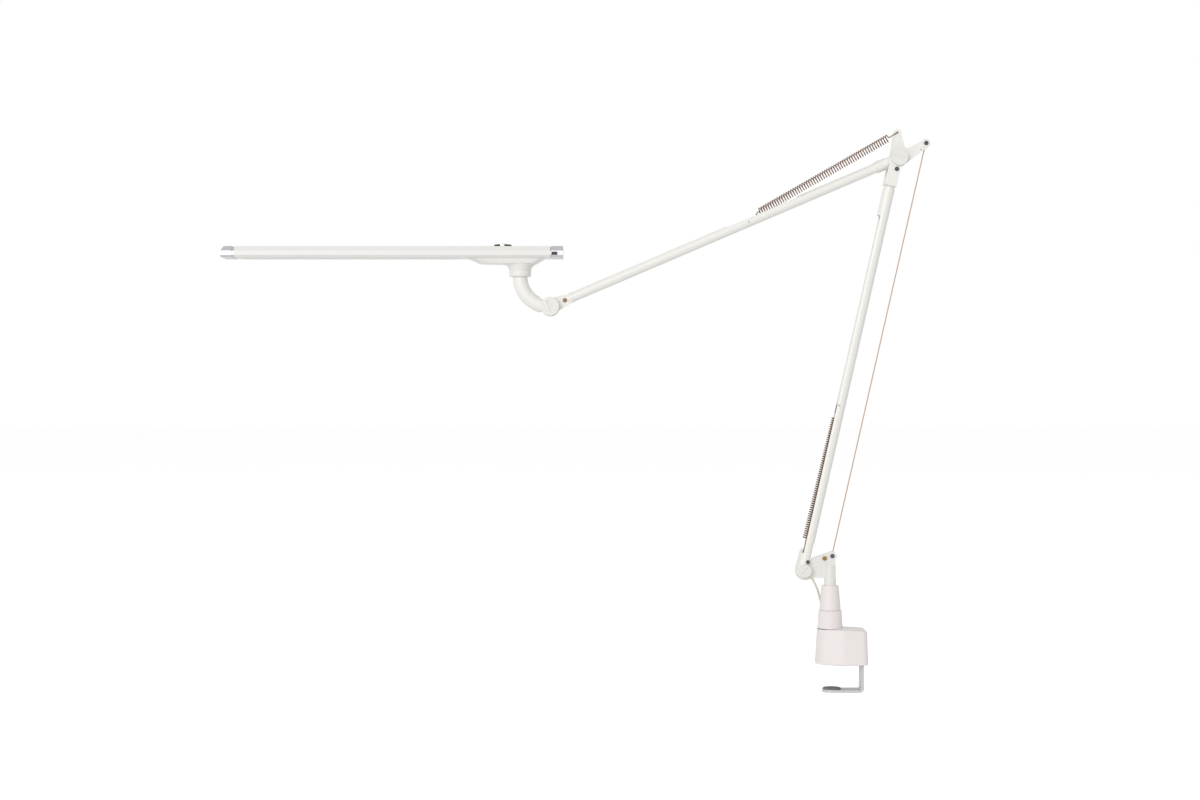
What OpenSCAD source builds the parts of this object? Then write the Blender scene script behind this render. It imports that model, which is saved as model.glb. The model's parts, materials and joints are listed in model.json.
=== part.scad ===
// Two-arm spring-balanced LED task lamp on a desk clamp, as it stands in use.
// Millimetres, +Z up. The origin is on the clamp's underside, on the axis of its collar.
// +X points away from the lamp head, +Y away from the viewer, and the arms lie in the plane Y = 0.

/* [Clamp housing] */
// Height of the housing above the desk
housing_h = 36.7; // [32:0.1:42]
// Depth of the housing, front to back
housing_d = 41; // [38:0.5:48]
// Distance from the collar axis to the housing's straight end
housing_reach = 37.7; // [37:0.1:44]
// Radius of the housing's round end
housing_nose_r = 16; // [15:0.5:19]
// Wall of the housing
housing_wall = 2.6; // [2:0.1:3]
// Thickness of the soft seat pad
seat_pad_t = 1; // [0.6:0.1:1.4]
// Thickness of the steel base plate
base_plate_t = 1.5; // [1:0.1:2]

/* [Clamp strap] */
// Thickness of the strap
strap_t = 3; // [2.5:0.1:3.4]
// Width of the strap
strap_w = 19; // [16:0.5:20]
// Opening between seat and jaw pad
desk_gap = 25.3; // [20:0.1:34]
// Height of the strap's inner leg above the desk
inner_leg_z = 21; // [20:0.1:22]
// Radius of the jaw pad
jaw_pad_r = 9.85; // [8:0.05:11]
// Thickness of the jaw pad
jaw_pad_t = 1.5; // [1:0.1:3]
// Radius of the lead screw
lead_screw_r = 4; // [3:0.1:4.5]

/* [Clamp knob] */
// Radius of the ribbed ring at its foot
ring_r = 13.1; // [12:0.1:15]
// Height of the ribbed ring
ring_h = 18.1; // [14:0.1:22]
// Number of ribs on the ring
rib_count = 28; // [18:1:36]
// Radius of the collar at its foot
collar_r = 11.2; // [10:0.1:12]
// Radius of the collar at its top
collar_top_r = 9.15; // [8.8:0.05:10]
// Height of the collar
collar_h = 26.2; // [22:0.1:30]

/* [Base bracket] */
// Radius of the swivel post
post_r = 6.2; // [5.5:0.1:6.5]
// Radius of the bracket's round boss at the lower pivot
base_boss_r = 10.2; // [9:0.1:11]
// Half thickness of both brackets' plates
plate_half = 3; // [2.6:0.1:3]
// Radius of the link bosses
link_boss_r = 4.7; // [4.3:0.1:5.5]
// Half thickness of the link bosses
link_boss_half = 4.5; // [4:0.1:5]

/* [Arms] */
// Length of the lower arm between its pivots
lower_arm_l = 448; // [420:1:480]
// Lean of the lower arm from upright, in degrees
lower_lean = 12.8; // [8:0.1:16]
// Length of the upper arm between its pivots
upper_arm_l = 401; // [380:1:430]
// Slope of the upper arm below level, in degrees
upper_slope = 23.1; // [20:0.1:26]
// Outer radius of the lower tube
lower_tube_r = 6.2; // [6:0.05:6.3]
// Outer radius of the upper tube
upper_tube_r = 5.2; // [4.8:0.05:5.4]
// Wall of both tubes
tube_wall = 0.7; // [0.5:0.05:0.9]
// Radius of the two arm bolts
bolt_r = 2; // [1.5:0.1:2.4]
// Outer radius of the elbow sleeve
sleeve_r = 6.25; // [6.1:0.05:6.4]
// Reach of the elbow sleeve from its pivot
sleeve_l = 26; // [22:1:34]

/* [Link rod] */
// Radius of the link rod's wire
rod_r = 0.6; // [0.5:0.05:0.7]
// Radius of the eye at each end, to the wire's middle
rod_eye_r = 3.1; // [3:0.05:3.4]
// Radius of the pins that the rod's eyes turn on
link_pin_r = 1.6; // [1.4:0.05:1.8]
// How far the link's pivots lie beside the arm's, away from the head
link_dx = 29; // [27:0.5:32]
// How far the link's pivots lie above the arm's
link_dz = 15.6; // [14:0.1:17]

/* [Balance springs] */
// Radius of the springs' wire
wire_r = 0.65; // [0.5:0.05:0.7]
// Radius of the coils, to the wire's middle
coil_r = 3.75; // [3.4:0.05:3.9]
// Turns of the lower spring
lower_turns = 44; // [30:1:48]
// Turns of the upper spring
upper_turns = 50; // [36:1:52]
// Length of the lower coil
lower_coil_l = 132; // [120:1:136]
// Length of the upper coil
upper_coil_l = 157.8; // [150:0.1:160]

/* [Knobs] */
// Radius of the lower pivot's knobs
lower_knob_r = 6.7; // [6:0.1:7.5]
// Radius of the elbow's knobs
elbow_knob_r = 8.7; // [8:0.1:9.5]
// Radius of the head joint's knobs
head_knob_r = 9.8; // [9:0.1:10.5]
// Thickness of the knobs
knob_t = 4; // [3:0.1:5]

/* [Neck] */
// Radius of the bent neck
neck_r = 7.8; // [7.4:0.1:8.2]
// Radius of the neck's bend
neck_bend_r = 31.8; // [30:0.1:36]
// Radius of the journal that turns in the head
journal_r = 6; // [5.5:0.1:6.4]
// Half thickness of the arm's tongue at the head joint
tongue_half = 4; // [3.5:0.1:4.2]

/* [Lamp head] */
// Length of the head's body without its end caps
head_l = 332.3; // [300:0.1:360]
// Width of the head
head_w = 38; // [36:0.5:44]
// Height of the head's body
head_h = 11.7; // [11:0.1:13]
// How far the body reaches past the swivel, on the arm's side
head_back = 32.3; // [31:0.1:36]
// Length of the end caps
cap_l = 12.1; // [10:0.1:15]
// Number of LEDs in a row
led_count = 24; // [12:1:30]
// Radius of the dimmer dial
dial_r = 9.5; // [8.5:0.1:11]
// Height of the dimmer dial above the head
dial_h = 3; // [2:0.1:4]
// Radius of the push button
button_r = 3; // [2.4:0.1:3.4]

/* [Lead] */
// Diameter of the lead
lead_d = 2.4; // [2:0.1:2.6]
// Step between the coil's turns and between its layers
lead_step = 2.9; // [2.85:0.05:3.2]
// Inner radius of the coil, to the lead's middle
lead_coil_r = 8; // [7:0.5:10]

/* [Hidden] */
$fn = 48;
// Half the play of a running fit, the play between flat faces that move, and the play of a free hole
run = 0.06;
play = 0.3;
free = 0.4;
eps = 0.01;

// Colours
warm_white = [0.93, 0.925, 0.91];
pink_white = [0.92, 0.895, 0.89];
steel = [0.62, 0.62, 0.64];
dark = [0.16, 0.16, 0.17];
bronze = [0.42, 0.33, 0.27];
brass = [0.72, 0.56, 0.3];
cream = [0.86, 0.84, 0.78];

// Pivots in the plane of the arms, as [x, z]
p0 = [-27, 98.6];
p1 = p0 + lower_arm_l * [sin(lower_lean), cos(lower_lean)];
joint = p1 - upper_arm_l * [cos(upper_slope), sin(upper_slope)];
link_offset = [link_dx, link_dz];
r0 = p0 + link_offset;
r1 = p1 + link_offset;
// Spring holes in the two ears, and the turns of both arms and of the upper spring about Y
ear0 = p0 + [-1.5, 20.2];
ear1 = p1 + [-1, 27];
upper_turn = -90 - upper_slope;
upper_spring_turn = -119.8;
lower_spring_turn = 13.68;

// The lower tube lies beside the line of its pivots, and its spring pin further along it
tube_off = -2.4;
tube_foot = -8;
tube_end = lower_arm_l - 34;
foot_slot = 30;
fork_gap = sleeve_r + play;
fork_cheek = 2.5;
fork_reach = 25;
fork_web = 6;
spigot_l = 22;
lower_pin_at = [-3.5, 178.6];
upper_pin_at = 172.5;
spring_pin_r = 1;
hook_r = spring_pin_r + wire_r + 0.2;

// Heights of the clamp
ring_z = housing_h + 0.9;
collar_z = ring_z + ring_h + 1.1;
collar_top = collar_z + collar_h;
post_foot = collar_z + 3;
leg_x = housing_reach - housing_wall - play - strap_t;
strap_foot = -desk_gap - jaw_pad_t - strap_t;
screw_foot = seat_pad_t + base_plate_t + 1;

// The head lies along X over the neck's swivel
swivel_x = joint[0] - neck_bend_r;
neck_top = joint[1] + neck_bend_r;
ring2_h = 6.4;
pod_h = 13.2;
head_z = neck_top + ring2_h + pod_h;
head_x1 = swivel_x + head_back;
head_x0 = head_x1 - head_l;
dial_to_swivel = 18.3;
pod_reach = 57.3;
pod_back = 24.3;
dial_x = swivel_x - dial_to_swivel;
pod_x0 = swivel_x - pod_reach;
pod_x1 = swivel_x + pod_back;
light_x0 = head_x0 + 10;
light_x1 = pod_x0 - 6;

// General shapes
// A cylinder along Y from y0 to y1
module across(r, y0, y1) {
    translate([0, y1, 0])
        rotate([90, 0, 0])
            cylinder(r = r, h = y1 - y0);
}

// A flat outline drawn in X and Z, as thick as y0 to y1
module plate(y0, y1) {
    translate([0, y1, 0])
        rotate([90, 0, 0])
            linear_extrude(y1 - y0)
                children();
}

// A bar between two rounds of any radii, with straight tangents
function tangent(p, q, rp, rq, side) =
    let (
        way = q - p,
        lead = atan2(way[1], way[0]) + side * acos((rp - rq) / norm(way)),
        out = [cos(lead), sin(lead)]
    ) [p + rp * out, q + rq * out];
module bar(p, q, rp, rq) {
    up = tangent(p, q, rp, rq, 1);
    low = tangent(p, q, rp, rq, -1);
    translate(p)
        circle(r = rp);
    translate(q)
        circle(r = rq);
    polygon([up[0], up[1], low[1], low[0]]);
}

// A rectangle with round corners
module round_box(x0, z0, x1, z1, r) {
    translate([x0 + r, z0])
        square([x1 - x0 - 2 * r, z1 - z0]);
    translate([x0, z0 + r])
        square([x1 - x0, z1 - z0 - 2 * r]);
    for (x = [x0 + r, x1 - r], z = [z0 + r, z1 - r])
        translate([x, z])
            circle(r = r);
}

// Places on the arms
module at(p) {
    translate([p[0], 0, p[1]])
        children();
}
module on_lower() {
    at(p0)
        rotate([0, lower_lean, 0])
            children();
}
module on_upper() {
    at(p1)
        rotate([0, upper_turn, 0])
            children();
}

// Two knobs on one bolt, with a short coin slot in each face at a turn of its own
module knob_pair(r, y, slot_turn, slot_w) {
    slot_l = 1.3 * r;
    slot_deep = 0.9;
    for (side = [-1, 1])
        scale([1, side, 1])
            difference() {
                across(r, y, y + knob_t);
                across(bolt_r + run, y - 1, y + knob_t - 1);
                rotate([0, slot_turn, 0])
                    translate([-slot_l / 2, y + knob_t - slot_deep, -slot_w / 2])
                        cube([slot_l, slot_deep + 1, slot_w]);
            }
}

// Tubes swept along points
function unit(v) = v / norm(v);
function ways(p) = [for (i = [0 : len(p) - 1])
    unit(p[min(i + 1, len(p) - 1)] - p[max(i - 1, 0)])];
function square_to(n, t) = unit(n - (n * t) * t);
function normals(t, n0) = [for (i = 0, n = square_to(n0, t[0]); i < len(t);
    i = i + 1, n = i < len(t) ? square_to(n, t[i]) : n) n];
module tube_along(p, r, sides, n0) {
    t = ways(p);
    n = normals(t, n0);
    rings = [for (i = [0 : len(p) - 1], j = [0 : sides - 1])
        p[i] + r * (cos(360 * j / sides) * n[i] + sin(360 * j / sides) * cross(t[i], n[i]))];
    last = (len(p) - 1) * sides;
    polyhedron(rings, [
        for (i = [0 : len(p) - 2], j = [0 : sides - 1])
            each [[i * sides + j, (i + 1) * sides + j, (i + 1) * sides + (j + 1) % sides],
                [i * sides + j, (i + 1) * sides + (j + 1) % sides, i * sides + (j + 1) % sides]],
        for (j = [1 : sides - 2])
            each [[0, j, j + 1], [last, last + j + 1, last + j]]
    ]);
}
// The least gap between points of one run that are at least a given count apart
function least_gap(p, apart, d) = min([for (i = [0 : len(p) - 1 - apart])
    min([for (j = [i + apart : len(p) - 1]) norm(p[i] - p[j])])]) - d;

// Coil of a spring along Z, starting on the near side
coil_rings = 6;
coil_sides = 5;
function coil(z, length, turns) = [for (i = [0 : turns * coil_rings])
    [coil_r * sin(360 * i / coil_rings), -coil_r * cos(360 * i / coil_rings),
        z + length * i / (turns * coil_rings)]];
// The straight end that enters an ear's hole from the near side
ear_end = [[0, 1, 0], [0, -plate_half, 0], [0, -coil_r, 0.8]];

// Clamp housing, its plan drawn from the collar axis
module housing_block(inset, h) {
    shoulder = 6;
    corner_r = shoulder - inset;
    // The straight sides meet the rounds this much inside them
    tuck = 0.05;
    shoulder_x = 12;
    end_x = housing_reach - shoulder;
    side_y = housing_d / 2 - shoulder;
    reach = corner_r - tuck;
    flank = tangent([0, 0], [shoulder_x, side_y], housing_nose_r - inset - tuck, reach, 1);
    half = concat(flank, [[shoulder_x, side_y + reach], [end_x, side_y + reach], [end_x + reach, side_y]]);
    linear_extrude(h)
        polygon(concat(half, [for (i = [len(half) - 1 : -1 : 0]) [half[i][0], -half[i][1]]]));
    cylinder(r = housing_nose_r - inset, h = h);
    for (x = [shoulder_x, end_x], side = [-1, 1])
        translate([x, side * side_y])
            cylinder(r = corner_r, h = h);
}
// Bosses for the housing screws, as [x, y]
screw_at = [[24, 14.4], [24, -14.4], [8, 12.4], [8, -12.4]];
// The shell ends this far above the desk, and the plate and pad lie this far inside its outline
shell_foot = 0.5;
plate_inset = housing_wall + play;
module base_housing() {
    color(pink_white)
        difference() {
            union() {
                difference() {
                    translate([0, 0, shell_foot])
                        housing_block(0, housing_h - shell_foot);
                    translate([0, 0, -1])
                        housing_block(housing_wall, housing_h - housing_wall + 1);
                }
                for (s = screw_at)
                    translate([s[0], s[1], seat_pad_t + base_plate_t])
                        cylinder(r = 2.4, h = housing_h - housing_wall / 2 - seat_pad_t - base_plate_t);
            }
            for (s = screw_at)
                translate([s[0], s[1], 0])
                    cylinder(r = 1.25, h = 16);
            translate([0, 0, housing_h - housing_wall - 1])
                cylinder(r = lead_screw_r + run, h = housing_wall + 2);
        }
}

module base_plate() {
    color(steel)
        difference() {
            translate([0, 0, seat_pad_t])
                housing_block(plate_inset, base_plate_t);
            translate([leg_x - free, -strap_w / 2 - free, 0])
                cube([strap_t + 2 * free, strap_w + 2 * free, 5]);
            for (s = screw_at)
                translate([s[0], s[1], 0])
                    cylinder(r = 1.5, h = 5);
        }
}

module seat_pad() {
    color(dark)
        difference() {
            housing_block(plate_inset, seat_pad_t);
            translate([leg_x - free, -strap_w / 2 - free, -1])
                cube([strap_t + 2 * free, strap_w + 2 * free, 5]);
            for (s = screw_at)
                translate([s[0], s[1], -1])
                    cylinder(r = 2.45, h = 5);
        }
}

module housing_screws() {
    color(steel)
        for (s = screw_at)
            translate([s[0], s[1], 0]) {
                translate([0, 0, 0.2])
                    cylinder(r = 2.3, h = seat_pad_t - 0.2);
                translate([0, 0, seat_pad_t - eps])
                    cylinder(r = 1.2, h = 12);
            }
}

module thrust_washer() {
    color(steel)
        translate([0, 0, housing_h])
            difference() {
                cylinder(r = 9, h = ring_z - housing_h - 0.1);
                translate([0, 0, -1])
                    cylinder(r = lead_screw_r + run, h = 3);
            }
}

// Strap bent at the jaw and at the inner leg, its jaw end round in plan
module clamp_strap() {
    bend = 4.5;
    beyond = 3 * strap_w;
    color(steel)
        difference() {
            intersection() {
                plate(-strap_w / 2, strap_w / 2)
                    difference() {
                        round_box(-beyond, strap_foot, leg_x + strap_t, inner_leg_z + strap_t, bend);
                        round_box(-beyond - 10, strap_foot + strap_t, leg_x, inner_leg_z, bend - strap_t);
                    }
                translate([1, 0, strap_foot - 1])
                    linear_extrude(strap_t + inner_leg_z - strap_foot + 2) {
                        circle(r = strap_w / 2);
                        translate([0, -strap_w / 2])
                            square([beyond, strap_w]);
                    }
            }
            translate([0, 0, inner_leg_z - 1])
                cylinder(r = 6.05, h = strap_t + 2);
        }
}

module jaw_pad() {
    color(dark)
        translate([1.8, 0, -desk_gap - jaw_pad_t])
            cylinder(r = jaw_pad_r - 0.4, h = jaw_pad_t);
}

module clamp_nut() {
    color(brass)
        translate([0, 0, inner_leg_z])
            difference() {
                union() {
                    cylinder(r = 6, h = strap_t);
                    translate([0, 0, -1.5])
                        cylinder(r = 7.5, h = 1.5);
                }
                translate([0, 0, -3])
                    cylinder(r = lead_screw_r + run, h = strap_t + 5);
            }
}

module knob_ring() {
    top_r = ring_r - 0.9;
    rib_tilt = atan((ring_r - top_r) / (ring_h - 1.6));
    color(pink_white)
        translate([0, 0, ring_z])
            difference() {
                rotate_extrude()
                    polygon([[lead_screw_r + 0.05, 0], [ring_r - 0.6, 0], [ring_r, 0.8],
                        [top_r, ring_h - 0.8], [top_r - 0.8, ring_h], [lead_screw_r + 0.05, ring_h]]);
                for (i = [0 : rib_count - 1])
                    rotate([0, 0, 360 * i / rib_count])
                        translate([ring_r, 0, 2])
                            rotate([0, -rib_tilt, 0])
                                translate([-0.5, -0.6, 0])
                                    cube([3, 1.2, ring_h - 4]);
            }
}

module knob_collar() {
    bore = post_r + 1.3;
    color(pink_white)
        translate([0, 0, collar_z])
            rotate_extrude()
                polygon([[lead_screw_r + 0.05, -1.1], [collar_r - 1.2, -1.1], [collar_r - 1.2, 0],
                    [collar_r, 0],
                    [collar_top_r + 0.15, collar_h - 1.5], [collar_top_r - 0.6, collar_h], [bore, collar_h],
                    [bore, 2], [lead_screw_r + 0.05, 2]]);
}

module lead_screw() {
    flange_z = housing_h - housing_wall - play - 1.2;
    color(steel) {
        translate([0, 0, screw_foot])
            cylinder(r = lead_screw_r, h = collar_z + 2 - screw_foot);
        translate([0, 0, flange_z])
            cylinder(r = lead_screw_r + 2, h = 1.2);
    }
}

module post_bushing() {
    color(dark)
        translate([0, 0, collar_z + 2])
            difference() {
                cylinder(r = post_r + 1.25, h = collar_h - 2.2);
                translate([0, 0, 1])
                    cylinder(r = post_r + run, h = collar_h);
            }
}

// The slot in which a rod's eye and rod turn, opening along the rod's way
module eye_slot(p, up) {
    slot_half = rod_r + play;
    plate(-slot_half, slot_half)
        translate(p) {
            circle(r = link_boss_r + 0.2);
            polygon([[0, 0], for (a = [-8 : 10 : 42]) up * 24 * [sin(a), cos(a)]]);
        }
}

// The swivel's casting: post, plate with boss and ear, and link boss
module base_bracket() {
    foot_z = p0[1] - 7.7;
    color(warm_white)
        difference() {
            union() {
                plate(-plate_half, plate_half) {
                    bar(p0, ear0, base_boss_r, 3.4);
                    polygon([p0, p0 + [8.6, 13.7], r0 + [-2.2, link_boss_r - 0.5], r0, [5.3, r0[1]],
                        [5.3, foot_z], [p0[0] + 5, foot_z]]);
                }
                plate(-link_boss_half, link_boss_half) {
                    translate(r0)
                        circle(r = link_boss_r);
                    polygon([[-3.3, r0[1] - 1], r0 + [0, -1], [5.3, r0[1] - 1], [5.3, foot_z],
                        [-3.3, foot_z]]);
                }
                translate([0, 0, post_foot])
                    cylinder(r = post_r, h = foot_z + 14 - post_foot);
            }
            at(p0)
                across(bolt_r + run, -20, 20);
            at(ear0)
                across(wire_r + free, -20, 20);
            at(r0)
                across(link_pin_r + 0.05, -20, 20);
            eye_slot(r0, 1);
            at([-6.1, p0[1] + 13])
                across(1.5, -20, 20);
            gland_place()
                cylinder(r = 2.4, h = 8, center = true);
        }
}

gland_turn = 153;
module gland_place() {
    translate([p0[0] + 7.6, 0, p0[1] - 7.4])
        rotate([0, gland_turn, 0])
            children();
}
module lead_gland() {
    color(cream)
        gland_place()
            translate([0, 0, -3.9])
                cylinder(r = 2.35, h = 4.9);
}

// A headed pin through both cheeks of a link boss
module link_pin() {
    across(link_pin_r, -link_boss_half, link_boss_half);
    for (y = [-link_boss_half - 0.8, link_boss_half])
        across(link_pin_r + 0.7, y, y + 0.8);
}
module lower_link_pin() {
    color(steel)
        at(r0)
            link_pin();
}

module adjuster_screw() {
    color(brass)
        at([-6.1, p0[1] + 13])
            difference() {
                union() {
                    across(1.45, -plate_half, plate_half);
                    across(2.3, -plate_half - 1.2, -plate_half);
                }
                rotate([0, 35, 0])
                    translate([-3, -plate_half - 1.3, -0.4])
                        cube([6, 0.9, 0.8]);
            }
}

// Route of the lead, chosen by hand from the gland to the coil behind the clamp
lead_route = [[-18.84, 0, 90.18], [-17.8, 0.3, 88.1], [-15, 2, 82.5], [-12.5, 5, 77], [-10.5, 8.5, 71],
    [-8.5, 12, 64.5], [-6.5, 15, 57], [-5.5, 17.3, 49], [-5.5, 18.9, 40], [-5.8, 20.2, 31],
    [-5.7, 21, 22], [-4.6, 21.5, 14], [-2, 21.9, 7.5], [2.2, 22.3, 3.2], [7, 22.8, 1.6],
    [11.6, 23, 1.25], [13.78, 23, 1.25]];
tail_route = [[13.78, 63.65, 9.95], [11.6, 63.65, 9.95], [7.2, 62.7, 10.8], [3.4, 60, 12.1],
    [1, 56, 13], [0.4, 51.6, 13.6], [1.3, 47.6, 14.3], [3.6, 44.7, 15.1], [6.6, 43.4, 15.7],
    [8.6, 43.3, 15.7]];
coil_x = 14;
coil_near_y = 23;

module supply_lead() {
    color(cream)
        tube_along(lead_route, lead_d / 2, 8, [0, 1, 0]);
}

// The stored length: four layers that spiral in and out, climbing where the spiral turns back
layer_turns = 4.5;
loop_rings = 18;
loop_turns = 17.5;
loop_sides = 5;
coil_low = 1.25;
coil_mid_y = coil_near_y + lead_coil_r + (layer_turns - 0.25) * lead_step;
function spiral_r(t) = lead_coil_r + lead_step * abs((t + 0.25) % (2 * layer_turns) - layer_turns);
function layer_z(t) = coil_low + lead_step * (floor((t + 0.5) / layer_turns)
    - 1 + min(1, ((t + 0.5) % layer_turns) / 0.5));
lead_loops = [for (i = [0 : loop_turns * loop_rings])
    let (t = i / loop_rings)
    [coil_x + spiral_r(t) * sin(360 * t), coil_mid_y - spiral_r(t) * cos(360 * t), layer_z(t)]];
module lead_coil() {
    color(cream)
        tube_along(lead_loops, lead_d / 2, loop_sides, [0, 0, 1]);
}

module lead_tail() {
    color(cream)
        tube_along(tail_route, lead_d / 2, 8, [0, 0, 1]);
}

module lead_plug() {
    color(dark)
        translate(tail_route[len(tail_route) - 1])
            rotate([0, 90, 0])
                difference() {
                    union() {
                        cylinder(r1 = 2.4, r2 = 4.4, h = 6);
                        translate([0, 0, 6])
                            cylinder(r = 4.4, h = 12);
                        translate([0, 0, 18])
                            cylinder(r = 2.75, h = 9.5);
                    }
                    translate([0, 0, 20])
                        cylinder(r = 1.05, h = 12);
                }
}

// The small screw beside the lower pivot, in a boss on the tube's near side
foot_screw_r = 1;
foot_boss_r = 2.6;
foot_boss_y = 6.5;
module foot_screw_place() {
    translate([0.7, 0, lower_knob_r + foot_boss_r + 0.6])
        children();
}

// Lower tube: round end over the pivot, slotted for the bracket and along the side for the spring
module lower_tube() {
    bore = lower_tube_r - tube_wall;
    color(warm_white)
        on_lower()
            difference() {
                union() {
                    intersection() {
                        translate([tube_off, 0, tube_foot])
                            cylinder(r = lower_tube_r, h = tube_end - tube_foot);
                        plate(-10, 10) {
                            circle(r = -tube_foot);
                            translate([-12, 0])
                                square([24, tube_end]);
                        }
                    }
                    foot_screw_place()
                        across(foot_boss_r, -foot_boss_y, -plate_half);
                }
                foot_screw_place()
                    across(foot_screw_r + free, -20, 0);
                translate([tube_off, 0, tube_foot - 1])
                    cylinder(r = bore, h = tube_end - tube_foot + 2);
                translate([tube_off - 10, -bore + 0.2, foot_slot - 12])
                    cube([10, 2 * bore - 0.4, tube_end - foot_slot - 18]);
                translate([-12, -plate_half - play, tube_foot - 1])
                    cube([24, 2 * (plate_half + play), foot_slot - tube_foot + 1]);
                across(bolt_r + run, -20, 20);
                translate([lower_pin_at[0], 0, lower_pin_at[1]])
                    across(spring_pin_r + 0.02, -20, 20);
            }
}

module foot_screw() {
    color(steel)
        on_lower()
            foot_screw_place()
                difference() {
                    union() {
                        across(foot_screw_r, -foot_boss_y - eps, -plate_half - play - 0.2);
                        across(foot_screw_r + 1.1, -foot_boss_y - 0.8, -foot_boss_y);
                    }
                    translate([0, -foot_boss_y - 0.3, 0])
                        rotate([90, 0, 0])
                            cylinder(r = 0.9, h = 3, $fn = 6);
                }
}

module top_fork() {
    y1 = fork_gap + fork_cheek;
    width = 2 * lower_tube_r + 0.4;
    web_z = lower_arm_l - fork_reach - fork_web;
    color(warm_white)
        on_lower()
            difference() {
                union() {
                    plate(-y1, y1) {
                        translate([tube_off - width / 2, web_z])
                            square([width, fork_reach + fork_web]);
                        translate([0, lower_arm_l])
                            circle(r = 7);
                    }
                    translate([tube_off, 0, web_z - spigot_l])
                        cylinder(r = lower_tube_r - tube_wall - 0.05, h = spigot_l + 1);
                }
                translate([-20, -fork_gap, lower_arm_l - fork_reach])
                    cube([40, 2 * fork_gap, fork_reach + 20]);
                translate([0, 0, lower_arm_l])
                    across(bolt_r + run, -20, 20);
                translate([-20, -20, lower_arm_l + 7])
                    cube([40, 40, 10]);
                translate([0, 0, lower_arm_l - 12.6])
                    across(1.55, -20, 20);
                translate([tube_off, 0, web_z - spigot_l - 1])
                    cylinder(r = 3.4, h = spigot_l - 3);
            }
}

module fork_screws() {
    y1 = fork_gap + fork_cheek;
    color(steel)
        on_lower()
            for (side = [-1, 1])
                scale([1, side, 1])
                    translate([0, 0, lower_arm_l - 12.6]) {
                        across(1.5, fork_gap + 0.2, y1);
                        difference() {
                            across(2.3, y1, y1 + 1);
                            across(1.1, y1 + 0.4, y1 + 2);
                        }
                    }
}

module lower_spring_pin() {
    color(steel)
        on_lower()
            translate([lower_pin_at[0], 0, lower_pin_at[1]])
                across(spring_pin_r, -lower_tube_r, lower_tube_r);
}

module lower_pivot_bolt() {
    color(steel)
        at(p0)
            across(bolt_r, -lower_tube_r - 2.5, lower_tube_r + 2.5);
}

module lower_knobs() {
    color(warm_white)
        at(p0)
            knob_pair(lower_knob_r, lower_tube_r + 0.1, -45, 1.4);
}

// The lower spring hangs between the ear and its cross pin
lower_coil_z = 13.2;
lower_spring_l = norm([
    p0[0] + lower_pin_at[0] * cos(lower_lean) + lower_pin_at[1] * sin(lower_lean) - ear0[0],
    p0[1] - lower_pin_at[0] * sin(lower_lean) + lower_pin_at[1] * cos(lower_lean) - ear0[1]]);
lower_coil = coil(lower_coil_z, lower_coil_l, lower_turns);
function hook(x, z, a0, a1) = [for (a = [a0 : 45 : a1]) [x - hook_r * cos(a), 0, z + hook_r * sin(a)]];
module lower_spring() {
    color(bronze)
        at(ear0)
            rotate([0, lower_spring_turn, 0])
                tube_along([each ear_end, [0, -coil_r, lower_coil_z - 2], each lower_coil,
                    [-0.6, -1.2, lower_coil_z + lower_coil_l + 3.5],
                    [-hook_r, 0, lower_coil_z + lower_coil_l + 6],
                    each hook(0, lower_spring_l, 0, 225)], wire_r, coil_sides, [1, 0, 0]);
}

// The rod runs from eye to eye, aimed at both pivots
rod_way = [sin(lower_lean), cos(lower_lean)];
module link_rod() {
    color(bronze) {
        for (p = [r0, r1])
            at(p)
                rotate([90, 0, 0])
                    rotate_extrude()
                        translate([rod_eye_r, 0])
                            circle(r = rod_r);
        at(r0 + rod_eye_r * rod_way)
            rotate([0, lower_lean, 0])
                cylinder(r = rod_r, h = lower_arm_l - 2 * rod_eye_r);
    }
}

module link_bushes() {
    color(steel)
        for (p = [r0, r1])
            at(p)
                difference() {
                    across(rod_eye_r - rod_r - 0.05, -rod_r - 0.1, rod_r + 0.1);
                    across(link_pin_r + run, -10, 10);
                }
}

// The elbow's casting: hub, spring ear and link boss
hub_r = 9.3;
module elbow_bracket() {
    color(warm_white)
        difference() {
            union() {
                plate(-plate_half, plate_half) {
                    bar(p1, ear1, hub_r, 3.6);
                    bar(p1 + [1.5, -1.5], r1, 7, link_boss_r - 0.4);
                    polygon([p1, p1 + [5.6, 13.5], p1 + [7.4, 11.2], p1 + [11, 10], p1 + [16, 10.5]]);
                }
                plate(-link_boss_half, link_boss_half)
                    translate(r1)
                        circle(r = link_boss_r);
            }
            at(p1)
                across(bolt_r + run, -20, 20);
            at(ear1)
                across(wire_r + free, -20, 20);
            at(r1)
                across(link_pin_r + 0.05, -20, 20);
            at(r1 + [-5.4, -6.9])
                across(1, -20, 20);
            eye_slot(r1, -1);
        }
}

module upper_link_pin() {
    color(steel)
        at(r1)
            difference() {
                link_pin();
                rotate([90, 0, 0])
                    translate([0, 0, link_boss_half - 0.2])
                        cylinder(r = 1.4, h = 3, $fn = 6);
            }
}

module elbow_bolt() {
    reach = fork_gap + fork_cheek + 2.5;
    color(steel)
        at(p1)
            across(bolt_r, -reach, reach);
}

module elbow_knobs() {
    color(warm_white)
        at(p1)
            knob_pair(elbow_knob_r, fork_gap + fork_cheek + 0.05, 22, 2);
}

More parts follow.
